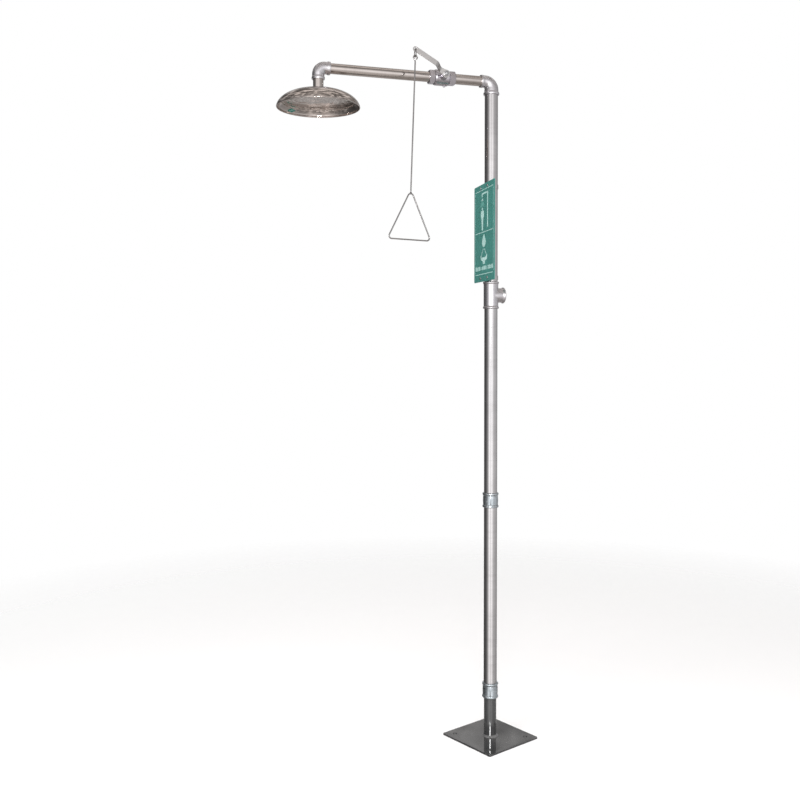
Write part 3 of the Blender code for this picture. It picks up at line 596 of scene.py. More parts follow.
def galvanised(name):
    """Hot-dip zinc: pale blue-grey spangle, cloudy and a little rough."""
    n = Nodes(name, Metallic=1.0)
    crystal = n.add("ShaderNodeTexVoronoi", {"feature": "F1"}, Vector=n.place, Scale=190.0).outputs["Color"]
    tone = n.add("ShaderNodeSeparateColor", Color=crystal).outputs[0]
    cloud = n.grain(46.0, detail=5.0, roughness=0.65)
    base = n.blend(tone, (0.56, 0.61, 0.65), (0.78, 0.84, 0.89))
    base = n.blend(n.spread(cloud, 0, 0.8, 0.4, 0.72), base, (0.42, 0.47, 0.49))
    rough = n.maths("ADD", n.spread(tone, 0.2, 0.34), n.spread(cloud, -0.05, 0.1, 0.35, 0.7))
    skin = n.bump(n.grain(320.0, detail=4.0, roughness=0.7), 0.35, 0.00012)
    normal = n.bump(cloud, 0.4, 0.0004, under=skin)
    return n.set(Base_Color=base, Roughness=rough, Normal=normal)


def cast(name, bright, dull, roughness):
    """Cast fitting: fine sand texture under a thin grey skin."""
    n = Nodes(name, Metallic=1.0)
    sand = n.grain(900.0, detail=5.0, roughness=0.7)
    cloud = n.grain(38.0, detail=5.0, roughness=0.6)
    base = n.blend(n.spread(cloud, 0, 1, 0.35, 0.7), bright, dull)
    base = n.blend(n.spread(sand, 0, 0.45, 0.55, 0.75), base, times(0.6, dull))
    rough = n.spread(cloud, roughness - 0.07, roughness + 0.1, 0.3, 0.7)
    normal = n.bump(sand, 0.5, 0.00018, under=n.bump(cloud, 0.5, 0.0005))
    return n.set(Base_Color=base, Roughness=rough, Normal=normal)


def spun(name, bright, dull, roughness, turned_by, streak, dents):
    """Spun sheet: fine rings about the object's own Z axis, soft bands of tone and shallow dents."""
    n = Nodes(name, Metallic=1.0, Anisotropic=turned_by)
    n.set(Tangent=n.add("ShaderNodeTangent", {"direction_type": "RADIAL", "axis": "Z"}).outputs[0])
    out = n.from_axis((0, 0, 0))

    def rings(scale, detail):
        node = n.add("ShaderNodeTexNoise", {"noise_dimensions": "1D"}, W=out, Scale=scale, Detail=detail)
        return node.outputs["Fac"]

    fine = rings(2600.0, 3.0)
    broad = rings(90.0, 2.0)
    cloud = n.grain(16.0, detail=5.0, roughness=0.6)
    base = n.blend(n.spread(cloud, 0, 1, 0.35, 0.7), bright, dull)
    base = n.blend(n.spread(broad, 0, 0.5, 0.4, 0.7), base, times(0.8, dull))
    rough = n.spread(cloud, roughness - 0.03, roughness + 0.08, 0.3, 0.7)
    rough = n.maths("ADD", rough, n.spread(fine, -0.04, 0.05, 0.3, 0.7))
    normal = n.bump(broad, 0.25, 0.0002)
    normal = n.bump(n.grain(34.0, detail=2.0, distortion=0.4), 1.0, dents, under=normal)
    normal = n.bump(fine, streak, 0.00002, under=normal)
    return n.set(Base_Color=base, Roughness=rough, Normal=normal)


def plastic(name, colour, roughness):
    """Pressed plastic: a faint cloud of tone and a fine grain."""
    n = Nodes(name)
    cloud = n.grain(60.0, detail=3.0)
    base = n.blend(n.spread(cloud, 0, 1, 0.3, 0.7), colour, times(0.86, colour))
    rough = n.spread(cloud, roughness - 0.06, roughness + 0.06)
    return n.set(Base_Color=base, Roughness=rough, Normal=n.bump(n.grain(700.0), 0.2, 0.00005))


def enamelled(name, colour, faded, roughness):
    """Printed sign face: slightly faded patches, faint vertical wipe marks and a satin film."""
    n = Nodes(name, Coat_Weight=0.25, Coat_Roughness=0.25)
    patch = n.grain(11.0, detail=6.0, roughness=0.62)
    wipes = n.grain(1.0, n.stretched((60, 60, 6)), detail=4.0)
    wiped = tuple(min(1, 1.3 * c + 0.02) for c in faded)
    base = n.blend(n.spread(patch, 0, 1, 0.4, 0.72), colour, faded)
    base = n.blend(n.spread(wipes, 0, 0.35, 0.5, 0.8), base, wiped)
    rough = n.spread(patch, roughness - 0.06, roughness + 0.12, 0.3, 0.7)
    normal = n.bump(n.grain(14.0, detail=1.0), 0.25, 0.0008)
    normal = n.bump(n.grain(500.0, detail=2.0), 0.2, 0.00005, under=normal)
    return n.set(Base_Color=base, Roughness=rough, Normal=normal)


def grey(value):
    return value, value, value


# How closely fine lines are set along each axis: rings round a pipe, lines along it, or lines along the lever
ROUND_X = (1500, 9, 9)
ROUND_Z = (7, 7, 1500)
ALONG_Z = (700, 700, 12)
RISER_LINES = (900, 900, 6)
LEVER_LINES = (40, 900, 40)

FINISHES = {
    "plate_paint": painted("plate_paint", (0.026, 0.027, 0.028), grey(0.088), 0.06, 0.04),
    "stub_paint": painted("stub_paint", (0.042, 0.043, 0.044), grey(0.085), 0.06, 0.05),
    # The weld's enamel is a lighter copy of the plate's black paint, colour and dust both raised: a painted
    # highlight for the light line its fillet catches
    "weld_paint_painted_highlight": painted("weld_paint_painted_highlight", (0.075, 0.076, 0.078), grey(0.2), 0.16, 0.05),
    "galvanised": galvanised("galvanised_zinc"),
    "cover": metal("brushed_cover", (0.70, 0.685, 0.69), (0.60, 0.585, 0.59), 0.1, 0.03, ROUND_Z, 0.2),
    "riser": metal("riser_pipe_steel", (0.36, 0.36, 0.38), (0.24, 0.24, 0.25), 0.55, 0.1, RISER_LINES, 0.25),
    "cast": cast("cast_iron_skin", (0.81, 0.79, 0.815), (0.67, 0.655, 0.685), 0.28),
    "valve": metal("valve_body_steel", (0.75, 0.72, 0.765), (0.5, 0.475, 0.51), 0.26, 0.07, grey(500), 0.3),
    "lever": metal("plated_lever", (0.72, 0.70, 0.69), (0.56, 0.54, 0.53), 0.28, 0.06, LEVER_LINES, 0.3),
    "arm": metal("polished_arm", (0.70, 0.645, 0.615), (0.60, 0.545, 0.515), 0.06, 0.03, ROUND_X, 0.18, 0.3),
    "rod": metal("pull_rod_steel", (0.46, 0.445, 0.44), (0.28, 0.27, 0.265), 0.2, 0.05, ALONG_Z, 0.25),
    "dome": spun("spun_dome", (0.74, 0.675, 0.64), (0.60, 0.535, 0.50), 0.05, 0.3, 0.12, 0.0004),
    "spray": spun("spray_plate_steel", (0.76, 0.69, 0.65), (0.62, 0.56, 0.52), 0.06, 0.4, 0.2, 0.0022),
    "seat": plastic("seat_ptfe", (0.82, 0.82, 0.79), 0.45),
    "sign": enamelled("sign_face_green", (0.03, 0.225, 0.188), (0.055, 0.27, 0.235), 0.34),
    "print": enamelled("sign_print_pale", (0.46, 0.74, 0.69), (0.56, 0.80, 0.76), 0.42),
    "spray_print": enamelled("sign_print_mid", (0.10, 0.36, 0.31), (0.15, 0.41, 0.36), 0.42),
    "fastener": metal("zinc_fastener", (0.62, 0.62, 0.63), (0.46, 0.46, 0.47), 0.34, 0.08, grey(300), 0.3),
}


def piece(obj, body, slot, finish, *nodes):
    """The object as a finished piece of a body, standing in for the CAD nodes named."""
    obj.data.materials.clear()
    obj.data.materials.append(FINISHES[finish])
    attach(obj, body)
    if nodes:
        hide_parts(*nodes)


def repaint(node, finish):
    """A CAD node kept as it is, in its finished material."""
    frame["nodes"][node].data.materials.clear()
    frame["nodes"][node].data.materials.append(FINISHES[finish])


# ---------------------------------------------------------------- base and riser


def pipe_bore():
    """Radius of the bores that the riser and the stub stand in."""
    return box("base_stub_pipe")[1].x + GAP


def base_plate():
    """The plate keeps the CAD's turn: its corners are the CAD's own."""
    low, high, _ = box("base_plate")
    spots = {(round(v.co.x, 5), round(v.co.y, 5)) for v in frame["nodes"]["base_plate"].data.vertices}
    corners = sorted(sorted(spots), key=lambda p: -(p[0] ** 2 + p[1] ** 2))[:4]
    corners.sort(key=lambda p: math.atan2(p[1], p[0]))
    outline = filleted([(x, y, PLATE_CORNER) for x, y in corners], steps=6)
    holes = []
    for x, y in corners:
        share = 1 - ANCHOR_INSET * math.sqrt(2) / math.hypot(x, y)
        holes.append(circle(x * share, y * share, ANCHOR_RADIUS))
    made = slab("base_plate_bevelled", [outline] + holes, low.z, high.z, PLATE_EDGE)
    piece(made, "stand", "black_paint", "plate_paint", "base_plate")


def base_weld():
    """A fillet weld: a concave ring laid in overlapping ripples."""
    low, high, _ = box("base_weld")
    inner = pipe_bore()
    wide = high.x - inner
    tall = high.z - low.z
    outline = [(inner, low.z), (high.x, low.z)]
    outline += [(inner + wide * (1 - t) ** 1.25, low.z + tall * t**0.85) for t in (0.12, 0.3, 0.5, 0.7, 0.88)]
    outline += [(inner, high.z)]

    def ripple(angle, radius, height):
        if radius <= inner or height <= low.z:
            return radius
        ripples = angle * WELD_RIPPLES / FULL_TURN
        wave = abs(math.sin(math.pi * (ripples + 0.48 * (height - low.z) / tall)))
        drift = noise.noise(Vector((math.cos(angle) * 3, math.sin(angle) * 3, height * 200)))
        return radius - WELD_RIPPLE_DEPTH * (1 - wave) - WELD_UNEVENNESS * (drift + 0.5)

    made = turned("base_weld_rippled", outline, WELD_STEPS, relief=ripple, sharp=60, weighted=False)
    # Its lighter enamel is a painted highlight along the fillet, not a paint of its own
    piece(made, "stand", "black_paint", "weld_paint_painted_highlight", "base_weld")


def tube(name, node, wall, place, axis):
    """A pipe between the node's ends, with its ends' edges rolled. axis is 0 for X and 2 for Z."""
    low, high, _ = box(node)
    radius = (high.y - low.y) / 2
    bore = radius - wall
    ends = (low[axis], high[axis])
    corners = [(radius, ends[0]), (radius, ends[1]), (bore, ends[1]), (bore, ends[0])]
    return turned(name, filleted([(r, z, PIPE_LIP) for r, z in corners]), place=place)


def stub():
    made = tube("base_stub_pipe_painted", "base_stub_pipe", RISER_WALL, upright(), 2)
    piece(made, "stand", "black_paint", "stub_paint", "base_stub_pipe")


def covers():
    for part in ("lower", "middle", "upper"):
        node = f"{part}_cover_tube"
        made = tube(f"{node}_brushed", node, COVER_WALL, upright(), 2)
        piece(made, "stand", "brushed_stainless", "cover", node)
        repaint(f"{part}_riser_pipe", "riser")


def couplings():
    """Banded couplings: a rounded bead at each mouth, four low ribs along the body and a cast surface."""
    bore = pipe_bore()
    for part in ("lower", "middle"):
        node = f"{part}_coupling"
        low, high, _ = box(node)
        bead = high.x
        body = bead - COUPLING_BEAD_DEPTH
        top = high.z
        foot = low.z

        def mouth(end, inward):
            return [
                (bore, end, 0.8 * MM),
                (bead - 0.6 * MM, end, 2.6 * MM),
                (bead, end + inward * BEAD_CREST, CREST_ROUND),
                (bead - 0.8 * MM, end + inward * 0.9 * BEAD_HEIGHT, 2.4 * MM),
                (body, end + inward * BEAD_FOOT, 1.6 * MM),
            ]

        def ribs(angle, radius, height):
            if radius < bore + 1 * MM:
                return radius
            from_end = min(height - foot, top - height) - RIB_END
            inside = max(0, min(1, from_end / RIB_FADE))
            across = abs(math.cos(2 * (angle + RIB_PHASE)))
            rib = max(0, (across - RIB_NARROWNESS) / (1 - RIB_NARROWNESS)) ** 0.5 * RIB_HEIGHT * inside
            wave = noise.noise(Vector((radius * math.cos(angle), radius * math.sin(angle), height)) * 90)
            return radius + rib + CAST_WAVE * wave

        outline = filleted(mouth(foot, 1) + [(body, (foot + top) / 2)] + mouth(top, -1)[::-1])
        made = turned(f"{node}_cast", outline, COUPLING_STEPS, relief=ribs, sharp=50, weighted=False)
        piece(made, "stand", "galvanised_iron", "galvanised", node)


def inlet_tee():
    """A cast body with a blended branch, bored through, and a thread in the branch's open socket."""
    low, high, _ = box("inlet_tee")
    centre_z = (low.z + high.z) / 2
    half = (high.z - low.z) / 2
    bead = high.y
    body = bead - BEAD_DEPTH
    branch_body = body - 0.5 * MM
    reach = high.x

    def mouth(radius, end, inward):
        return [
            (bead - MOUTH_CHAMFER, end, MOUTH_ROUND),
            (bead, end + inward * BEAD_CREST, CREST_ROUND),
            (radius, end + inward * BEAD_FOOT, FOOT_ROUND),
        ]

    run = filleted([(0, -half)] + mouth(body, -half, 1) + mouth(body, half, -1)[::-1] + [(0, half)])
    branch = filleted([(0, 0), (branch_body, 0)] + mouth(branch_body, reach, -1)[::-1] + [(0, reach)])
    tee = turned("inlet_tee_cast", run, PIPE_STEPS, upright(z=centre_z), weighted=False)
    arm = turned("tee_branch", branch, PIPE_STEPS, along_x(centre_z), weighted=False)
    combined(tee, [arm], weighted=False)
    remesh = tee.modifiers.new("cast", "REMESH")
    remesh.mode = "VOXEL"
    remesh.voxel_size = CASTING_VOXEL
    soften = tee.modifiers.new("soften", "SMOOTH")
    soften.factor = 0.5
    soften.iterations = CASTING_SMOOTHS
    baked(tee)
    bore = pipe_bore()
    socket = bead - SOCKET_WALL
    past = 10 * MM

    def drill(name, radius, start, end, place=None):
        outline = [(0, start), (radius, start), (radius, end), (0, end)]
        return turned(name, outline, place=place, weighted=False)

    cuts = [
        drill("cut_run", bore, low.z - past, high.z + past),
        drill("cut_socket", socket, 0, reach + past, along_x(centre_z)),
    ]
    combined(tee, cuts, "DIFFERENCE", sharp=50, weighted=False)
    piece(tee, "stand", "grey_iron", "cast", "inlet_tee")

    start = bore + 0.5 * MM
    end = reach - 1.2 * MM
    rows = int((end - start) / (THREAD_PITCH / 6))
    inner = socket - 1.6 * MM
    outer = socket - 0.05 * MM
    side = [(inner, start + (end - start) * i / rows) for i in range(rows + 1)]

    def crest(angle, radius, height):
        if radius >= outer:
            return radius
        phase = (height / THREAD_PITCH - angle / FULL_TURN) % 1
        return radius + THREAD_DEPTH * abs(2 * phase - 1)

    outline = side + [(outer, end), (outer, start)]
    here = along_x(centre_z)
    steps = SOCKET_THREAD_STEPS
    thread = turned("inlet_socket_thread", outline, steps, here, crest, sharp=70, weighted=False)
    piece(thread, "stand", "grey_iron", "cast")


# ---------------------------------------------------------------- arm


def arm_axis():
    """The arm's height and its pipe's radius."""
    low, high, centre = box("arm_pipe")
    return centre.z, (high.y - low.y) / 2


def bead_swell(distance):
    """How much of a mouth's bead there is at this distance from the mouth."""
    share = distance / BEAD_HEIGHT
    if share < 0.25:
        return 0.72 + 0.28 * math.sin(QUARTER * share / 0.25)
    if share < 0.8:
        return 1.0
    return max(0.0, 0.5 + 0.5 * math.cos(math.pi * min(1, (share - 0.8) / 0.45)))


def elbow(name, node, corner, mouth_low, mouth_side, direction, radii_low, radii_side, bores):
    """A cast elbow from a lower mouth round to a side mouth; direction is -1 or 1 along X."""
    drop = corner[1] - mouth_low
    reach = abs(mouth_side - corner[0])
    bend = max(radii_low[0], radii_side[0]) + 1.5 * MM
    straight_steps = 14
    bend_steps = 20
    points = [(0, -drop + (drop - bend) * i / straight_steps) for i in range(straight_steps)]
    for i in range(bend_steps + 1):
        angle = QUARTER * i / bend_steps
        points.append((bend * (math.cos(angle) - 1), bend * (math.sin(angle) - 1)))
    points += [(-bend - (reach - bend) * i / straight_steps, 0) for i in range(1, straight_steps + 1)]
    lengths = [0.0]
    for a, b in zip(points, points[1:]):
        lengths.append(lengths[-1] + math.dist(a, b))
    total = lengths[-1]
    radii = []
    bore = []
    for gone in lengths:
        share = gone / total
        share = share * share * (3 - 2 * share)
        body = radii_low[0] + (radii_side[0] - radii_low[0]) * share
        if gone < total / 2:
            radii.append(body + (radii_low[1] - radii_low[0]) * bead_swell(gone))
            bore.append(bores[0])
        else:
            radii.append(body + (radii_side[1] - radii_side[0]) * bead_swell(total - gone))
            bore.append(bores[1])
    path = [(corner[0] - direction * x, 0, corner[1] + z) for x, z in points]
    made = swept(name, path, radii, (0, 1, 0), 64, bores=bore, sharp=60)
    piece(made, "stand", "grey_iron", "cast", node)


def elbows():
    arm_z, arm_radius = arm_axis()
    arm_bore = arm_radius + GAP
    small = (SMALL_BODY, SMALL_BEAD)
    low, high, _ = box("post_elbow")
    large = (high.y - BEAD_DEPTH, high.y)
    bores = (pipe_bore(), arm_bore)
    elbow("post_elbow_cast", "post_elbow", (0, arm_z), low.z, low.x, -1, large, small, bores)
    low, high, _ = box("head_elbow")
    corner = (HEAD_CENTRE.x, arm_z)
    elbow("head_elbow_cast", "head_elbow", corner, low.z, high.x, 1, small, small, (arm_bore, arm_bore))


def arm_pipes():
    arm_z, _ = arm_axis()
    nipple = tube("valve_nipple_polished", "valve_nipple", ARM_WALL, along_x(arm_z), 0)
    piece(nipple, "stand", "brushed_stainless", "arm", "valve_nipple")
    arm = tube("arm_pipe_polished", "arm_pipe", ARM_WALL, along_x(arm_z), 0)
    piece(arm, "stand", "polished_stainless", "arm", "arm_pipe")
    drop = tube("head_nipple_polished", "head_nipple", ARM_WALL, upright(HEAD_CENTRE.x), 2)
    piece(drop, "stand", "polished_stainless", "arm", "head_nipple")
    repaint("head_inlet_socket", "valve")


def valve_body(arm_z, bore, stem_x):
    """A round body with a hexagon at the post's end, the stem's boss in front and a lug below."""
    low, high, _ = box("valve_body")
    radius = high.y
    waist = radius - VALVE_SHOULDER
    neck = high.x - VALVE_HEX_LENGTH
    outline = filleted(
        [
            (VALVE_CORE, low.x),
            (radius - 2.2 * MM, low.x, 1 * MM),
            (radius, low.x + VALVE_SHOULDER, 2 * MM),
            (radius, neck - VALVE_SHOULDER, 3 * MM),
            (waist, neck + 1 * MM, 2 * MM),
            (waist, neck + 3 * MM),
            (VALVE_CORE, neck + 3 * MM),
        ]
    )
    hexagon = [
        (bore, neck),
        (VALVE_HEX - 1 * MM, neck),
        (VALVE_HEX, neck + 1.2 * MM),
        (VALVE_HEX, high.x - 1.6 * MM),
        (VALVE_HEX - 2.2 * MM, high.x),
        (bore, high.x),
    ]
    boss = filleted(
        [
            (0, BOSS_START),
            (BOSS_ROOT_RADIUS, BOSS_START),
            (BOSS_ROOT_RADIUS, BOSS_START + 11 * MM),
            (BOSS_RADIUS, BOSS_START + 16 * MM, 3 * MM),
            (BOSS_RADIUS, BOSS_END, 0.8 * MM),
            (0, BOSS_END),
        ]
    )
    lug_top = low.z + LUG_HEIGHT
    lug = filleted([(0, low.z), (LUG_RADIUS, low.z, 1 * MM), (LUG_RADIUS + 0.6 * MM, lug_top), (0, lug_top)])
    here = along_x(arm_z)
    front = along_minus_y(stem_x, arm_z)
    beside = upright(stem_x + LUG_OFFSET)
    body = turned("valve_body_machined", outline, PIPE_STEPS, here, weighted=False)
    added = [
        turned("hexagon", hexagon, PIPE_STEPS, here, hexed(VALVE_HEX_FLAT), sharp=20, weighted=False),
        turned("boss", boss, SMALL_STEPS, front, weighted=False),
        turned("lug", lug, SMALL_STEPS, beside, weighted=False),
    ]
    combined(body, added, sharp=28)
    piece(body, "stand", "valve_steel", "valve", "valve_body")


def valve_end_cap(arm_z, bore):
    start = box("valve_end_cap")[0].x
    end = start + 17.8 * MM
    outline = [
        (bore, start),
        (VALVE_HEX - 2.2 * MM, start),
        (VALVE_HEX, start + 1.6 * MM),
        (VALVE_HEX, end - 1.4 * MM),
        (VALVE_HEX - 1.2 * MM, end),
        (bore, end),
    ]
    hexagon = hexed(VALVE_HEX_FLAT)
    cap = turned("valve_end_cap_machined", outline, PIPE_STEPS, along_x(arm_z), hexagon, sharp=20)
    piece(cap, "stand", "valve_steel", "valve", "valve_end_cap")


def gland_nut(arm_z, stem_x):
    front = -box("gland_nut")[0].y
    back = BOSS_END + GAP
    outline = [
        (STEM_RADIUS + 0.4 * MM, back),
        (GLAND_RADIUS - 0.6 * MM, back),
        (GLAND_RADIUS, back + 0.6 * MM),
        (GLAND_RADIUS, front - 1.1 * MM),
        (GLAND_RADIUS - 1.5 * MM, front),
        (STEM_RADIUS + 0.4 * MM, front),
    ]
    here = along_minus_y(stem_x, arm_z)
    nut = turned("gland_nut_chamfered", outline, PIPE_STEPS, here, hexed(GLAND_FLAT, 0.2), sharp=20)
    piece(nut, "stand", "valve_steel", "valve", "gland_nut")


def valve_stem(arm_z, stem_x):
    """The stem, with the thread that its lever's nut turns on."""
    low, high, _ = box("valve_stem")
    end = -low.y
    first = 6 * MM - high.y
    shoulder = 30 * MM
    rows = 60
    side = [(STEM_RADIUS, shoulder + (end - 0.5 * MM - shoulder) * i / rows) for i in range(rows + 1)]
    outline = [(0, first), (STEM_RADIUS - 0.1 * MM, first)] + side + [(STEM_RADIUS - 0.8 * MM, end), (0, end)]
    thread = threaded(STEM_THREAD_START, end, STEM_THREAD_DEPTH, STEM_THREAD_PITCH, STEM_RADIUS - 0.5 * MM)
    here = along_minus_y(stem_x, arm_z)
    stem = turned("valve_stem_threaded", outline, SMALL_STEPS, here, thread, sharp=60, weighted=False)
    piece(stem, "lever", "lever_steel", "fastener", "valve_stem")


def ball_valve():
    arm_z, arm_radius = arm_axis()
    bore = arm_radius + GAP
    stem_x = box("valve_stem")[2].x
    valve_body(arm_z, bore, stem_x)
    valve_end_cap(arm_z, bore)
    gland_nut(arm_z, stem_x)
    repaint("gland_packing", "seat")
    repaint("valve_seat_post_side", "seat")
    repaint("valve_seat_arm_side", "seat")
    repaint("valve_ball", "rod")
    valve_stem(arm_z, stem_x)


# ---------------------------------------------------------------- lever, link and pull rod


def joint_place(name):
    return Vector(next(j for j in frame["joints"] if j["name"] == name)["pos_m"])


def lever():
    """A flat strap, joggled forwards between its hub and its grip."""
    stem = joint_place("valve_lever_turn")
    tip = joint_place("link_turn")
    length = math.hypot(tip.x - stem.x, tip.z - stem.z)
    lift = math.atan2(tip.z - stem.z, stem.x - tip.x)
    hub_plane = LEVER_THICKNESS / 2 - box("lever_handle")[1].y
    forward = -tip.y - hub_plane
    loop = arc_points((0, 0), HUB_RADIUS, *HUB_ARC, 30)
    loop += [(SHOULDER[0], -SHOULDER[1]), (WAIST[0], -WAIST[1])]
    loop += arc_points((length, 0), TIP_RADIUS, -90, 90, 20)
    loop += [WAIST, SHOULDER]
    holes = [circle(0, 0, STEM_CLEAR), circle(length, 0, LINK_HOLE)]
    half = LEVER_THICKNESS / 2
    strap = slab("lever_handle_pressed", [loop] + holes, -half, half, LEVER_BEVEL)
    strap.modifiers.clear()
    shape = bmesh.new()
    shape.from_mesh(strap.data)
    for i in range(LEVER_CUTS):
        cut = LEVER_FIRST_CUT + LEVER_CUT_STEP * i
        everything = shape.verts[:] + shape.edges[:] + shape.faces[:]
        bmesh.ops.bisect_plane(
            shape, geom=everything, dist=SHORT_EDGE, plane_co=(cut, 0, 0), plane_no=(1, 0, 0)
        )
    bend = JOGGLE_END - JOGGLE_START
    for v in shape.verts:
        part = min(1, max(0, (v.co.x - JOGGLE_START) / bend))
        turn = math.atan(6 * part * (1 - part) / bend * forward)
        thick = v.co.z
        v.co.z = hub_plane + forward * part * part * (3 - 2 * part) + thick * math.cos(turn)
        v.co.x -= thick * math.sin(turn)
    bmesh.ops.recalc_face_normals(shape, faces=shape.faces)
    shape.to_mesh(strap.data)
    shape.free()
    # Local X runs along the lever, and local Z comes to the front
    forwards = Matrix(((-1, 0, 0, 0), (0, 0, -1, 0), (0, 1, 0, 0), (0, 0, 0, 1)))
    place = Matrix.Translation((stem.x, 0, stem.z)) @ Matrix.Rotation(lift, 4, "Y") @ forwards
    strap.data.transform(place)
    if place.determinant() < 0:
        strap.data.flip_normals()
    shaded(strap, 40)
    piece(strap, "lever", "lever_steel", "lever", "lever_handle")


def lever_fasteners():
    stem = joint_place("valve_lever_turn")
    here = along_minus_y(stem.x, stem.z)
    low, high, _ = box("lever_washer")
    radius = (high.x - low.x) / 2
    soft = 0.3 * MM
    outline = [
        (STEM_CLEAR, -high.y, soft),
        (radius, -high.y, soft),
        (radius, -low.y, 0.5 * MM),
        (STEM_CLEAR, -low.y, soft),
    ]
    washer = turned("lever_washer_bevelled", filleted(outline), SMALL_STEPS, here)
    piece(washer, "lever", "lever_steel", "fastener", "lever_washer")
    low, high, _ = box("lever_nut")
    back = -high.y
    front = -low.y
    outline = [
        (STEM_CLEAR, back),
        (LEVER_NUT_RADIUS - 0.6 * MM, back),
        (LEVER_NUT_RADIUS, back + 0.5 * MM),
        (LEVER_NUT_RADIUS, front - 0.9 * MM),
        (LEVER_NUT_RADIUS - 1.2 * MM, front),
        (STEM_CLEAR + 0.3 * MM, front),
        (STEM_CLEAR - 0.1 * MM, front - 0.5 * MM),
    ]
    nut = turned("lever_nut_chamfered", outline, PIPE_STEPS, here, hexed(LEVER_NUT_FLAT, 0.3), sharp=20)
    piece(nut, "lever", "lever_steel", "fastener", "lever_nut")


def pull_link():
    """A closed wire link, with a swelling where its ends are welded."""
    low, high, centre = box("pull_link")
    wire = (high.x - low.x) / 2
    half = (high.y - low.y) / 2 - wire
    top = high.z - wire - half
    foot = low.z + wire + half
    steps = 28
    points = [(centre.x, centre.y + y, top + z) for y, z in arc_points((0, 0), half, 0, 180, steps)]
    points += [(centre.x, centre.y + y, foot + z) for y, z in arc_points((0, 0), half, 180, 360, steps)]
    radii = [wire] * len(points)
    for share, swelling in ((0.3, 1.0), (0.45, 1.1), (0.5, 1.2), (0.55, 1.1), (0.7, 1.0)):
        points.append((centre.x, centre.y + half, foot + (top - foot) * share))
        radii.append(wire * swelling)
    made = swept("pull_link_welded", points, radii, (1, 0, 0), WIRE_SIDES, closed=True)
    piece(made, "link", "lever_steel", "rod", "pull_link")


def pull_rod(wire, place):
    """A rod whose upper end is bent round into an eye."""
    pivot = joint_place("pull_rod_swing")
    rod_low, rod_high, _ = box("pull_rod")
    end = (place.inverted() @ Vector((pivot.x, pivot.y, rod_low.z))).z + 0.2 * MM
    eye = EYE_RADIUS
    top = rod_high.z - pivot.z - wire - eye
    shank = top - EYE_SHANK * eye - end
    shank_steps = 12
    points = [(0, 0, end), (0, 0, end + 0.6 * MM)]
    points += [(0, 0, end + shank * i / shank_steps) for i in range(1, shank_steps + 1)]
    points += [(x * eye, 0, top + z * eye) for x, z in EYE_NECK]
    points += [(x, 0, top + z) for x, z in arc_points((0, 0), eye, *EYE_ARC, 44)]
    radii = [wire * 0.75] + [wire] * (len(points) - 2) + [wire * 0.8]
    rod = swept("pull_rod_bent", points, radii, (0, 1, 0), WIRE_SIDES, place=place)
    piece(rod, "pull", "polished_stainless", "rod", "pull_rod")


def pull_handle(wire, place):
    """A bent rod triangle, welded to the pull rod at its apex."""
    local = [place.inverted() @ v.co for v in frame["nodes"]["pull_handle"].data.vertices]
    top = max(v.z for v in local) - wire
    foot = min(v.z for v in local) + wire
    half = max(abs(v.x) for v in local) - wire
    # The sharp corners lie outside the rounded ones, by amounts that depend on their own angle
    corner = HANDLE_CORNER
    tall = top - foot
    sharp_half = half
    for _ in range(HANDLE_FIT_ROUNDS):
        apex_angle = math.atan(sharp_half / tall)
        base_angle = (QUARTER - apex_angle) / 2
        sharp_half = half + corner / math.tan(base_angle) - corner
        tall = top - foot + corner / math.sin(apex_angle) - corner
    apex = top + corner / math.sin(math.atan(sharp_half / tall)) - corner
    triangle = [(0, apex, corner), (-sharp_half, foot, corner), (sharp_half, foot, corner)]
    points = [(p.x, 0, p.y) for p in filleted(triangle, steps=14)]
    fine = []
    for a, b in zip(points, points[1:] + points[:1]):
        count = max(1, int(math.dist(a, b) / HANDLE_STEP))
        fine += [tuple(a[k] + (b[k] - a[k]) * i / count for k in range(3)) for i in range(count)]
    radii = [wire] * len(fine)
    handle = swept("pull_handle_bent", fine, radii, (0, 1, 0), WIRE_SIDES, closed=True, place=place)
    piece(handle, "pull", "polished_stainless", "rod", "pull_handle")

    def lumpy(angle, radius, height):
        around = Vector((math.cos(angle), math.sin(angle), height * 400))
        return radius * (1 + 0.08 * noise.noise(around * 1.7))

    outline = [
        (0, -4.2 * MM),
        (wire * 0.9, -3.9 * MM),
        (wire * 1.45, -2.2 * MM),
        (wire * 1.6, 0),
        (wire * 1.42, 2.2 * MM),
        (wire * 1.1, 4.2 * MM),
        (0, 4.4 * MM),
    ]
    here = place @ Matrix.Translation((0, 0, top + wire * 0.6))
    weld = turned("handle_weld", outline, 32, here, lumpy, sharp=70, weighted=False)
    piece(weld, "pull", "polished_stainless", "rod")


def pull():
    low, high, _ = box("pull_rod")
    wire = (high.y - low.y) / 2
    place = Matrix.Translation(joint_place("pull_rod_swing")) @ Matrix.Rotation(ROD_LEAN, 4, "Y")
    pull_rod(wire, place)
    pull_handle(wire, place)


# ---------------------------------------------------------------- shower head


def dome_side(low, high, centre):
    """The dome's outside from its neck to its rim."""
    nipple_low, nipple_high, _ = box("head_nipple")
    neck = (nipple_high.x - nipple_low.x) / 2 + GAP
    reach = high.x - centre.x
    rise = high.z - low.z
    points = []
    for i in range(DOME_ROWS + 1):
        angle = QUARTER * i / DOME_ROWS
        radius = neck + (reach - neck) * math.sin(angle) ** DOME_WIDTH_POWER
        height = rise * max(0, math.cos(angle)) ** DOME_HEIGHT_POWER
        points.append(Vector((radius, low.z + height)))
    return points


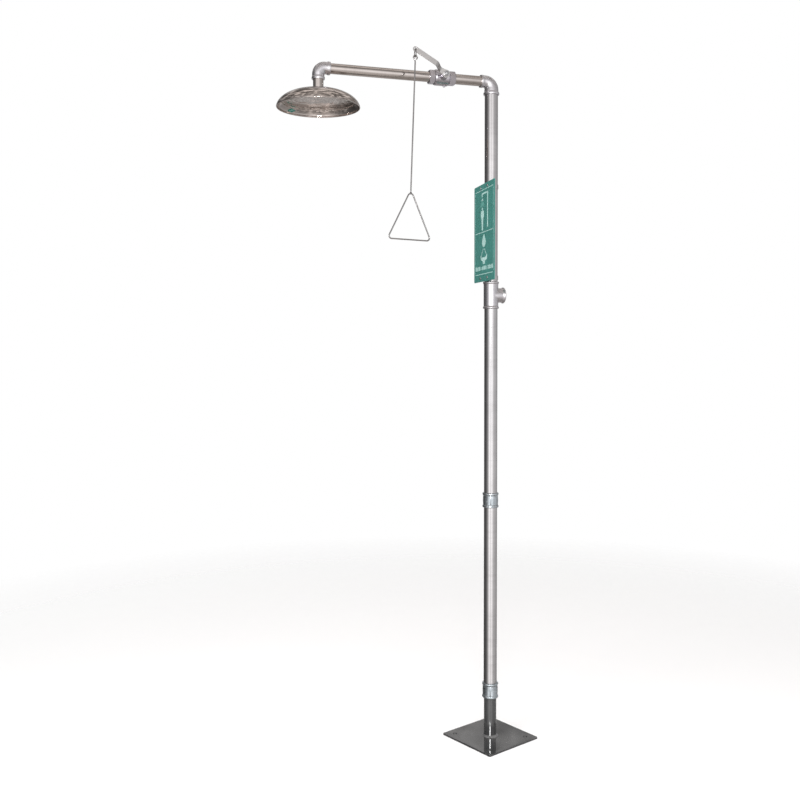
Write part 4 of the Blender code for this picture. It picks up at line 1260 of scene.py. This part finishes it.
def dome():
    """Spun sheet with a short neck and a rolled rim."""
    low, high, centre = box("shower_head_dome")
    outside = dome_side(low, high, centre)
    inside = []
    for before, at, after in zip(outside, outside[1:], outside[2:]):
        along = (after - before).normalized()
        inside.append(at + Vector((along.y, -along.x)) * DOME_SHEET)
    neck = outside[0]
    roll_centre = (outside[-1].x - RIM_ROLL, low.z + RIM_ROLL)
    side = [(neck.x, neck.y - 2.5 * MM), (neck.x, neck.y - 0.4 * MM), (neck.x + 0.4 * MM, neck.y)]
    side += [tuple(p) for p in outside[2:-3]]
    side += arc_points(roll_centre, RIM_ROLL, 20, -180, 8)
    side += [tuple(p) for p in inside[-4:1:-1]]
    made = turned("shower_head_dome_spun", side, HEAD_STEPS, sharp=50, weighted=False)
    made.matrix_world = upright(centre.x)
    piece(made, "stand", "polished_stainless", "dome", "shower_head_dome")


def spray_drills(low, high):
    """One mesh of prisms, in rings, that cuts the spray plate's holes between two heights."""
    verts = []
    faces = []
    sides = SPRAY_HOLE_SIDES
    rings = [(0, 1)] + [(i * SPRAY_RING_STEP, 6 * i) for i in range(1, SPRAY_RINGS + 1)]
    for radius, count in rings:
        for k in range(count):
            angle = FULL_TURN * k / count + radius * SPRAY_RING_TWIST
            start = len(verts)
            loop = circle(radius * math.cos(angle), radius * math.sin(angle), SPRAY_HOLE, sides)
            verts += [(p.x, p.y, z) for z in (low, high) for p in loop]
            for s in range(sides):
                t = (s + 1) % sides
                faces.append((start + s, start + t, start + sides + t, start + sides + s))
            faces.append(tuple(start + s for s in reversed(range(sides))))
            faces.append(tuple(start + sides + s for s in range(sides)))
    return mesh_piece("drill", verts, faces, weighted=False)


def spray_plate():
    """A drilled disc with its edge turned down."""
    low, high, centre = box("spray_plate")
    edge = high.x - centre.x
    level = high.z
    outline = filleted(
        [
            (edge, low.z),
            (edge, level, 2.2 * MM),
            (0, level),
            (0, level - SPRAY_SHEET),
            (edge - SPRAY_SHEET, level - SPRAY_SHEET, 1.4 * MM),
            (edge - SPRAY_SHEET, low.z),
        ],
        steps=5,
    )
    plate = turned("spray_plate_drilled", outline, HEAD_STEPS, sharp=50, weighted=False)
    drills = spray_drills(level - 3 * MM, level + 2 * MM)
    combined(plate, [drills], "DIFFERENCE", sharp=50, weighted=False)
    plate.matrix_world = upright(HEAD_CENTRE.x)
    piece(plate, "stand", "polished_stainless", "spray", "spray_plate")


# ---------------------------------------------------------------- sign
# The sign's own axes have X through its thickness; they are the world's, turned by SIGN_TURN.

SIGN_AXES = Matrix.Rotation(SIGN_TURN, 4, "Z")


def in_sign_axes(node):
    return [SIGN_AXES.inverted() @ v.co for v in frame["nodes"][node].data.vertices]


def bar(x0, y0, x1, y1, width):
    """A straight stroke with round ends, as an outline."""
    a = Vector((x0, y0))
    b = Vector((x1, y1))
    along = (b - a).normalized()
    heading = math.degrees(math.atan2(along.y, along.x))
    r = width / 2
    return arc_points(b, r, heading - 90, heading + 90, 8) + arc_points(a, r, heading + 90, heading + 270, 8)


def sign():
    """The plate, and its marks as raised ink; their places are shares of its width and height."""
    low, high, _ = box("sign_plate")
    local = in_sign_axes("sign_plate")
    front = -min(v.x for v in local)
    back = -max(v.x for v in local)
    half = max(v.y for v in local)
    tall = high.z - low.z
    corners = [(-half, low.z), (half, low.z), (half, high.z), (-half, high.z)]
    outline = filleted([(x, y, SIGN_CORNER) for x, y in corners], steps=6)
    spots = [SIGN_AXES.inverted() @ box(f"sign_bolt_{i}")[2] for i in (1, 2, 3, 4)]
    holes = [circle(-p.y, p.z, SIGN_HOLE, 20) for p in spots]
    # Local X to the viewer's right, local Y up, local Z out of the sign's face
    here = SIGN_AXES @ Matrix(((0, 0, -1, 0), (-1, 0, 0, 0), (0, 1, 0, 0), (0, 0, 0, 1)))
    plate = slab("sign_plate_printed", [outline] + holes, back, front, SIGN_BEVEL, here)
    piece(plate, "stand", "sign_green", "sign", "sign_plate")

    def at(u, v):
        return (2 * u - 1) * half, low.z + v * tall

    def stroke(u0, v0, u1, v1, width):
        return bar(*at(u0, v0), *at(u1, v1), width)

    def patch(*points):
        return filleted([(*at(u, v), INK_CORNER) for u, v in points], steps=3)

    def printed(name, outlines, height, finish):
        bottom = front - INK_SINK
        top = front + height
        made = [slab("ink", [loop], bottom, top, INK_BEVEL, here, steps=1) for loop in outlines]
        piece(merged(name, made), "stand", "sign_green", finish)

    def caption():
        """A row of short blocks in three groups, in place of lettering."""
        blocks = []
        for i in range(20):
            if i in (6, 13):
                continue
            u = 0.085 + 0.0425 * i
            right = u + (0.026, 0.031, 0.022)[i % 3]
            top = 0.118 + (0.036 if i % 5 == 2 else 0.042)
            blocks.append(patch((u, 0.118), (right, 0.118), (right, top), (u, top)))
        return blocks

    line = 2.2 * MM
    edge_line = 1.0 * MM
    frame_lines = [stroke(0.07, v, 0.93, v, line) for v in (0.94, 0.507, 0.078)]
    frame_lines += [stroke(u, 0.93, u, 0.09, edge_line) for u in (0.055, 0.945)]
    pipe = [(0.65, 0.545), (0.69, 0.545), (0.69, 0.908), (0.385, 0.908)]
    pipe += [(0.385, 0.868), (0.42, 0.868), (0.42, 0.892), (0.65, 0.892)]
    person = [(0.345, 0.728), (0.485, 0.728), (0.49, 0.66), (0.465, 0.655), (0.455, 0.60)]
    person += [(0.445, 0.525), (0.39, 0.525), (0.38, 0.60), (0.365, 0.655), (0.34, 0.66)]
    shower_mark = [
        patch(*pipe),
        patch((0.395, 0.852), (0.43, 0.852), (0.462, 0.83), (0.363, 0.83)),
        circle(*at(0.415, 0.745), 5.4 * MM, 28),
        patch(*person),
    ]
    face = [(0.475, 0.482), (0.505, 0.482), (0.56, 0.435), (0.585, 0.405), (0.555, 0.372)]
    face += [(0.525, 0.355), (0.455, 0.355), (0.425, 0.372), (0.395, 0.405), (0.42, 0.435)]
    bowl = [(0.33, 0.268), (0.36, 0.268), (0.40, 0.248), (0.58, 0.248), (0.62, 0.268), (0.65, 0.268)]
    bowl += [(0.635, 0.226), (0.545, 0.21), (0.535, 0.18), (0.445, 0.18), (0.435, 0.21), (0.345, 0.226)]
    jet = 2.4 * MM
    jet_tip = 2.8 * MM
    eyewash_mark = [
        patch(*face),
        stroke(0.46, 0.335, 0.365, 0.265, jet),
        stroke(0.52, 0.335, 0.615, 0.265, jet),
        stroke(0.365, 0.265, 0.375, 0.24, jet_tip),
        stroke(0.615, 0.265, 0.605, 0.24, jet_tip),
        patch(*bowl),
    ]
    printed("sign_frame_lines", frame_lines, INK_HEIGHT, "print")
    printed("sign_shower_mark", shower_mark, INK_HEIGHT, "print")
    printed("sign_eyewash_mark", eyewash_mark, INK_HEIGHT, "print")
    printed("sign_caption_bars", caption(), INK_HEIGHT, "print")
    spray = patch((0.37, 0.822), (0.455, 0.822), (0.52, 0.768), (0.31, 0.768))
    printed("sign_spray_mark", [spray], PALE_INK_HEIGHT, "spray_print")


def clamp_outline(local):
    """Read off the CAD strap: its bore, sheet and ears, seen from above."""
    sheet = CLAMP_SHEET
    far_side = [v for v in local if v.x > 15 * MM and abs(v.y) < 8 * MM]
    bore = max(math.hypot(v.x, v.y) for v in far_side) - sheet
    outer = bore + sheet
    tip = max(v.y for v in local)
    ear_front = min(v.x for v in local)
    ear_back = ear_front + sheet
    outer_end = math.acos(ear_back / outer)
    inner_end = math.degrees(math.acos(ear_front / bore))
    root = outer * math.sin(outer_end) + 1.2 * MM
    band_end = math.degrees(outer_end) - 4
    steps = 40
    outline = [(ear_back, tip, 0.4 * MM), (ear_back, root)]
    outline += arc_points((0, 0), outer, band_end, -band_end, steps)
    outline += [(ear_back, -root), (ear_back, -tip, 0.4 * MM), (ear_front, -tip, 0.4 * MM)]
    outline += arc_points((0, 0), bore, -inner_end, inner_end, steps)
    outline += [(ear_front, tip, 0.4 * MM)]
    return filleted(outline, steps=2)


def sign_clamps():
    for part in ("upper", "lower"):
        node = f"sign_clamp_{part}"
        low, high, _ = box(node)
        outline = clamp_outline(in_sign_axes(node))
        made = slab(f"{node}_bent", [outline], low.z, high.z, CLAMP_BEVEL, SIGN_AXES, sharp=30)
        piece(made, "stand", "brushed_stainless", "cover", node)


def sign_bolt(name, low, high, here):
    """A domed head with a threaded shank behind it."""
    start = low + BOLT_HEAD_HEIGHT
    crown = [
        (0, low),
        (2.4 * MM, low + 0.15 * MM),
        (3.9 * MM, low + 0.8 * MM),
        (BOLT_HEAD, low + 1.8 * MM),
        (BOLT_HEAD, start),
    ]
    shank = high - 0.4 * MM - start
    side = [(BOLT_RADIUS, start + shank * k / BOLT_ROWS) for k in range(BOLT_ROWS + 1)]
    outline = crown + side + [(BOLT_RADIUS - 0.5 * MM, high), (0, high)]
    over = BOLT_RADIUS - 0.3 * MM
    thread = threaded(start + 4 * MM, high, BOLT_THREAD_DEPTH, BOLT_THREAD_PITCH, over)
    return turned(f"{name}_domed", outline, 32, here, thread, sharp=60, weighted=False)


def sign_nut(name, low, high, here):
    bore = BOLT_RADIUS + GAP
    outline = [
        (bore, low),
        (BOLT_HEAD - 0.3 * MM, low),
        (BOLT_HEAD, low + 0.3 * MM),
        (BOLT_HEAD, high - 0.6 * MM),
        (BOLT_HEAD - 0.6 * MM, high),
        (bore, high),
    ]
    return turned(f"{name}_chamfered", outline, SMALL_STEPS, here, hexed(SIGN_NUT_FLAT, 0.25), sharp=20)


def sign_fasteners():
    for i in (1, 2, 3, 4):
        for kind, make in (("bolt", sign_bolt), ("nut", sign_nut)):
            node = f"sign_{kind}_{i}"
            verts = in_sign_axes(node)
            low = min(v.x for v in verts)
            high = max(v.x for v in verts)
            y = (min(v.y for v in verts) + max(v.y for v in verts)) / 2
            z = (min(v.z for v in verts) + max(v.z for v in verts)) / 2
            here = SIGN_AXES @ Matrix.Translation((0, y, z)) @ Matrix.Rotation(QUARTER, 4, "Y")
            piece(make(node, low, high, here), "stand", "fastener_steel", "fastener", node)


# ---------------------------------------------------------------- studio


def camera():
    data = bpy.data.cameras.new("camera")
    data.lens = LENS
    data.sensor_width = SENSOR_WIDTH
    data.shift_y = CAMERA_SHIFT
    made = bpy.data.objects.new("camera", data)
    bpy.context.scene.collection.objects.link(made)
    made.location = CAMERA_PLACE
    made.rotation_euler = (QUARTER - CAMERA_PITCH, 0, CAMERA_HEADING)
    bpy.context.scene.camera = made


def soft_light(name, place, target, wide, tall, energy, mirrored=False):
    data = bpy.data.lights.new(name, "AREA")
    data.shape = "RECTANGLE"
    data.size = wide
    data.size_y = tall
    data.energy = energy
    made = bpy.data.objects.new(name, data)
    bpy.context.scene.collection.objects.link(made)
    made.location = place
    made.rotation_euler = (Vector(target) - Vector(place)).to_track_quat("-Z", "Y").to_euler()
    made.visible_glossy = mirrored
    made.visible_camera = False


# Brightness of the studio round the stand, as (bearing, value)
# Bearing 0 is towards the camera's place, and 90 to its right
BEARINGS = [
    (-180, 0.7), (-162, 0.55), (-145, 0.18), (-125, 0.05), (-100, 0.085), (-76, 0.15), (-56, 0.28),
    (-42, 0.58), (-30, 0.98), (-16, 1.45), (-5, 1.15), (4, 1.0), (12, 1.25), (21, 1.4), (34, 1.1),
    (44, 0.8), (60, 0.6), (82, 0.55), (108, 0.46), (130, 0.36), (148, 0.3), (164, 0.6), (180, 0.7),
]
# How it changes with height, as (elevation, share of the bearing's own value, plain light)
HEIGHTS = [
    (-90, 0.0, 0.26), (-62, 0.08, 0.24), (-40, 0.36, 0.12), (-20, 0.9, 0.0), (-8, 1.08, 0.0),
    (8, 1.08, 0.0), (19, 0.66, 0.04), (31, 0.26, 0.17), (46, 0.1, 0.33), (90, 0.0, 0.36),
]
# The brightest value that any of these may hold
BRIGHTEST = 3.0
# Dim and bright patches above and below, as (noise, value)
ROOM = [(0.0, 0.2), (0.4, 0.32), (0.46, 0.7), (0.51, 1.0), (0.56, 1.8), (0.63, 2.7), (1.0, 3.0)]
# The room behind the stand, which only the shower head's underside mirrors, as (noise, share)
CLUTTER = [(0.0, 0.2), (0.38, 0.3), (0.46, 0.5), (0.52, 0.75), (0.58, 0.95), (0.66, 1.5), (1.0, 1.7)]
# How large and how fine both kinds of patch are
ROOM_SCALE = 5.5
ROOM_DETAIL = 4.0
CLUTTER_SCALE = 42.0
CLUTTER_DETAIL = 3.0
PATCH_DISTORTION = 0.8
# The clutter fades in between these cosines of the angle from straight behind
BEHIND_START = 0.86
BEHIND_END = 0.95


def ramp(tree, value, stops, column=1):
    """The stops' own column of numbers against a value; a colour ramp holds 0 to 1, so it is scaled."""
    node = tree.nodes.new("ShaderNodeValToRGB")
    node.color_ramp.interpolation = "EASE"
    tree.links.new(value, node.inputs[0])
    elements = node.color_ramp.elements
    while len(elements) > 1:
        elements.remove(elements[-1])
    low, high = stops[0][0], stops[-1][0]
    for i, stop in enumerate(stops):
        place = (stop[0] - low) / (high - low)
        shade = stop[column] / BRIGHTEST
        element = elements[0] if i == 0 else elements.new(place)
        element.position = place
        element.color = (shade, shade, shade, 1)
    scale = tree.nodes.new("ShaderNodeMath")
    scale.operation = "MULTIPLY"
    tree.links.new(node.outputs[0], scale.inputs[0])
    scale.inputs[1].default_value = BRIGHTEST
    return scale.outputs[0]


def studio():
    world = bpy.data.worlds.new("studio")
    bpy.context.scene.world = world
    world.use_nodes = True
    tree = world.node_tree
    tree.nodes.clear()

    def maths(operation, *values):
        node = tree.nodes.new("ShaderNodeMath")
        node.operation = operation
        for socket, value in zip(node.inputs, values):
            if isinstance(value, bpy.types.NodeSocket):
                tree.links.new(value, socket)
            else:
                socket.default_value = value
        return node.outputs[0]

    def dot(vector, direction):
        node = tree.nodes.new("ShaderNodeVectorMath")
        node.operation = "DOT_PRODUCT"
        tree.links.new(vector, node.inputs[0])
        node.inputs[1].default_value = direction
        return node.outputs["Value"]

    direction = tree.nodes.new("ShaderNodeTexCoord").outputs["Generated"]
    back = Vector((CAMERA_PLACE[0], CAMERA_PLACE[1], 0)).normalized()
    right = Vector((-back.y, back.x, 0))
    bearing = maths("ARCTAN2", dot(direction, right), dot(direction, back))
    bearing = maths("MULTIPLY_ADD", bearing, 1 / FULL_TURN, 0.5)
    height = maths("ARCSINE", dot(direction, (0, 0, 1)))
    height = maths("MULTIPLY_ADD", height, 1 / math.pi, 0.5)
    around = ramp(tree, bearing, BEARINGS)
    share = ramp(tree, height, HEIGHTS)
    plain = ramp(tree, height, HEIGHTS, column=2)

    def patches(scale, detail, stops):
        room = tree.nodes.new("ShaderNodeTexNoise")
        room.inputs["Scale"].default_value = scale
        room.inputs["Detail"].default_value = detail
        room.inputs["Distortion"].default_value = PATCH_DISTORTION
        tree.links.new(direction, room.inputs["Vector"])
        return ramp(tree, room.outputs["Fac"], stops)

    plain = maths("MULTIPLY", plain, patches(ROOM_SCALE, ROOM_DETAIL, ROOM))
    behind = tree.nodes.new("ShaderNodeMapRange")
    behind.interpolation_type = "SMOOTHSTEP"
    tree.links.new(dot(direction, -back), behind.inputs["Value"])
    behind.inputs["From Min"].default_value = BEHIND_START
    behind.inputs["From Max"].default_value = BEHIND_END
    clutter = maths("SUBTRACT", patches(CLUTTER_SCALE, CLUTTER_DETAIL, CLUTTER), 1.0)
    clutter = maths("MULTIPLY_ADD", clutter, behind.outputs["Result"], 1.0)
    value = maths("MULTIPLY_ADD", maths("MULTIPLY", around, clutter), share, plain)
    off_level = maths("MULTIPLY", maths("ABSOLUTE", maths("SUBTRACT", height, 0.5)), 3.0)
    tint = tree.nodes.new("ShaderNodeMix")
    tint.data_type = "RGBA"
    tree.links.new(off_level, tint.inputs[0])
    tint.inputs[6].default_value = (1.0, 1.0, 1.01, 1)
    tint.inputs[7].default_value = (1.04, 0.975, 0.93, 1)
    seen = tree.nodes.new("ShaderNodeBackground")
    seen.inputs["Color"].default_value = (1, 1, 1, 1)
    lit = tree.nodes.new("ShaderNodeBackground")
    tree.links.new(tint.outputs[2], lit.inputs["Color"])
    tree.links.new(value, lit.inputs["Strength"])
    ray = tree.nodes.new("ShaderNodeLightPath").outputs["Is Camera Ray"]
    mix = tree.nodes.new("ShaderNodeMixShader")
    tree.links.new(ray, mix.inputs[0])
    tree.links.new(lit.outputs[0], mix.inputs[1])
    tree.links.new(seen.outputs[0], mix.inputs[2])
    tree.links.new(mix.outputs[0], tree.nodes.new("ShaderNodeOutputWorld").inputs[0])


def floor():
    """A pale disc that fades into the backdrop."""
    steps = FLOOR_STEPS
    turns = [FULL_TURN * i / steps for i in range(steps)]
    verts = [(0, 0, 0)]
    for radius in FLOOR_RINGS:
        verts += [(radius * math.cos(t), radius * math.sin(t), 0) for t in turns]
    faces = [(0, 1 + i, 1 + (i + 1) % steps) for i in range(steps)]
    for k in range(len(FLOOR_RINGS) - 1):
        a = 1 + k * steps
        for i in range(steps):
            j = (i + 1) % steps
            faces.append((a + i, a + steps + i, a + steps + j, a + j))
    made = mesh_piece("floor", verts, faces, Matrix.Translation((0, 0, -FLOOR_DROP)), weighted=False)
    n = Nodes("floor_pale", Base_Color=(0.95, 0.95, 0.955, 1), Roughness=0.7)
    fade = n.spread(n.from_axis((0, 0, 0)), 0, 1, *FLOOR_FADE)
    clear = n.add("ShaderNodeBsdfTransparent").outputs[0]
    mix = n.add("ShaderNodeMixShader")
    n.put(mix.inputs[0], fade)
    n.put(mix.inputs[1], n.shader.outputs[0])
    n.put(mix.inputs[2], clear)
    output = n.tree.nodes["Material Output"]
    n.tree.links.new(mix.outputs[0], output.inputs["Surface"])
    made.data.materials.append(n.material)
    made.visible_glossy = False


def main():
    camera()
    base_plate()
    base_weld()
    stub()
    covers()
    couplings()
    inlet_tee()
    elbows()
    arm_pipes()
    ball_valve()
    lever()
    lever_fasteners()
    pull_link()
    pull()
    dome()
    spray_plate()
    sign()
    sign_clamps()
    sign_fasteners()
    studio()
    floor()
    soft_light("overhead", (-0.6, -0.6, 5.0), (-0.2, 0, 0), 2.7, 2.7, 200)
    soft_light("left_fill", (-4.0, -2.2, 2.2), (0, 0, 1.6), 1.8, 1.8, 40)
    soft_light("lamp", (-1.66, -4.12, 1.87), (0, 0, 0.1), 1.0, 0.26, 50, mirrored=True)
    bpy.context.scene.view_settings.view_transform = "Standard"


main()
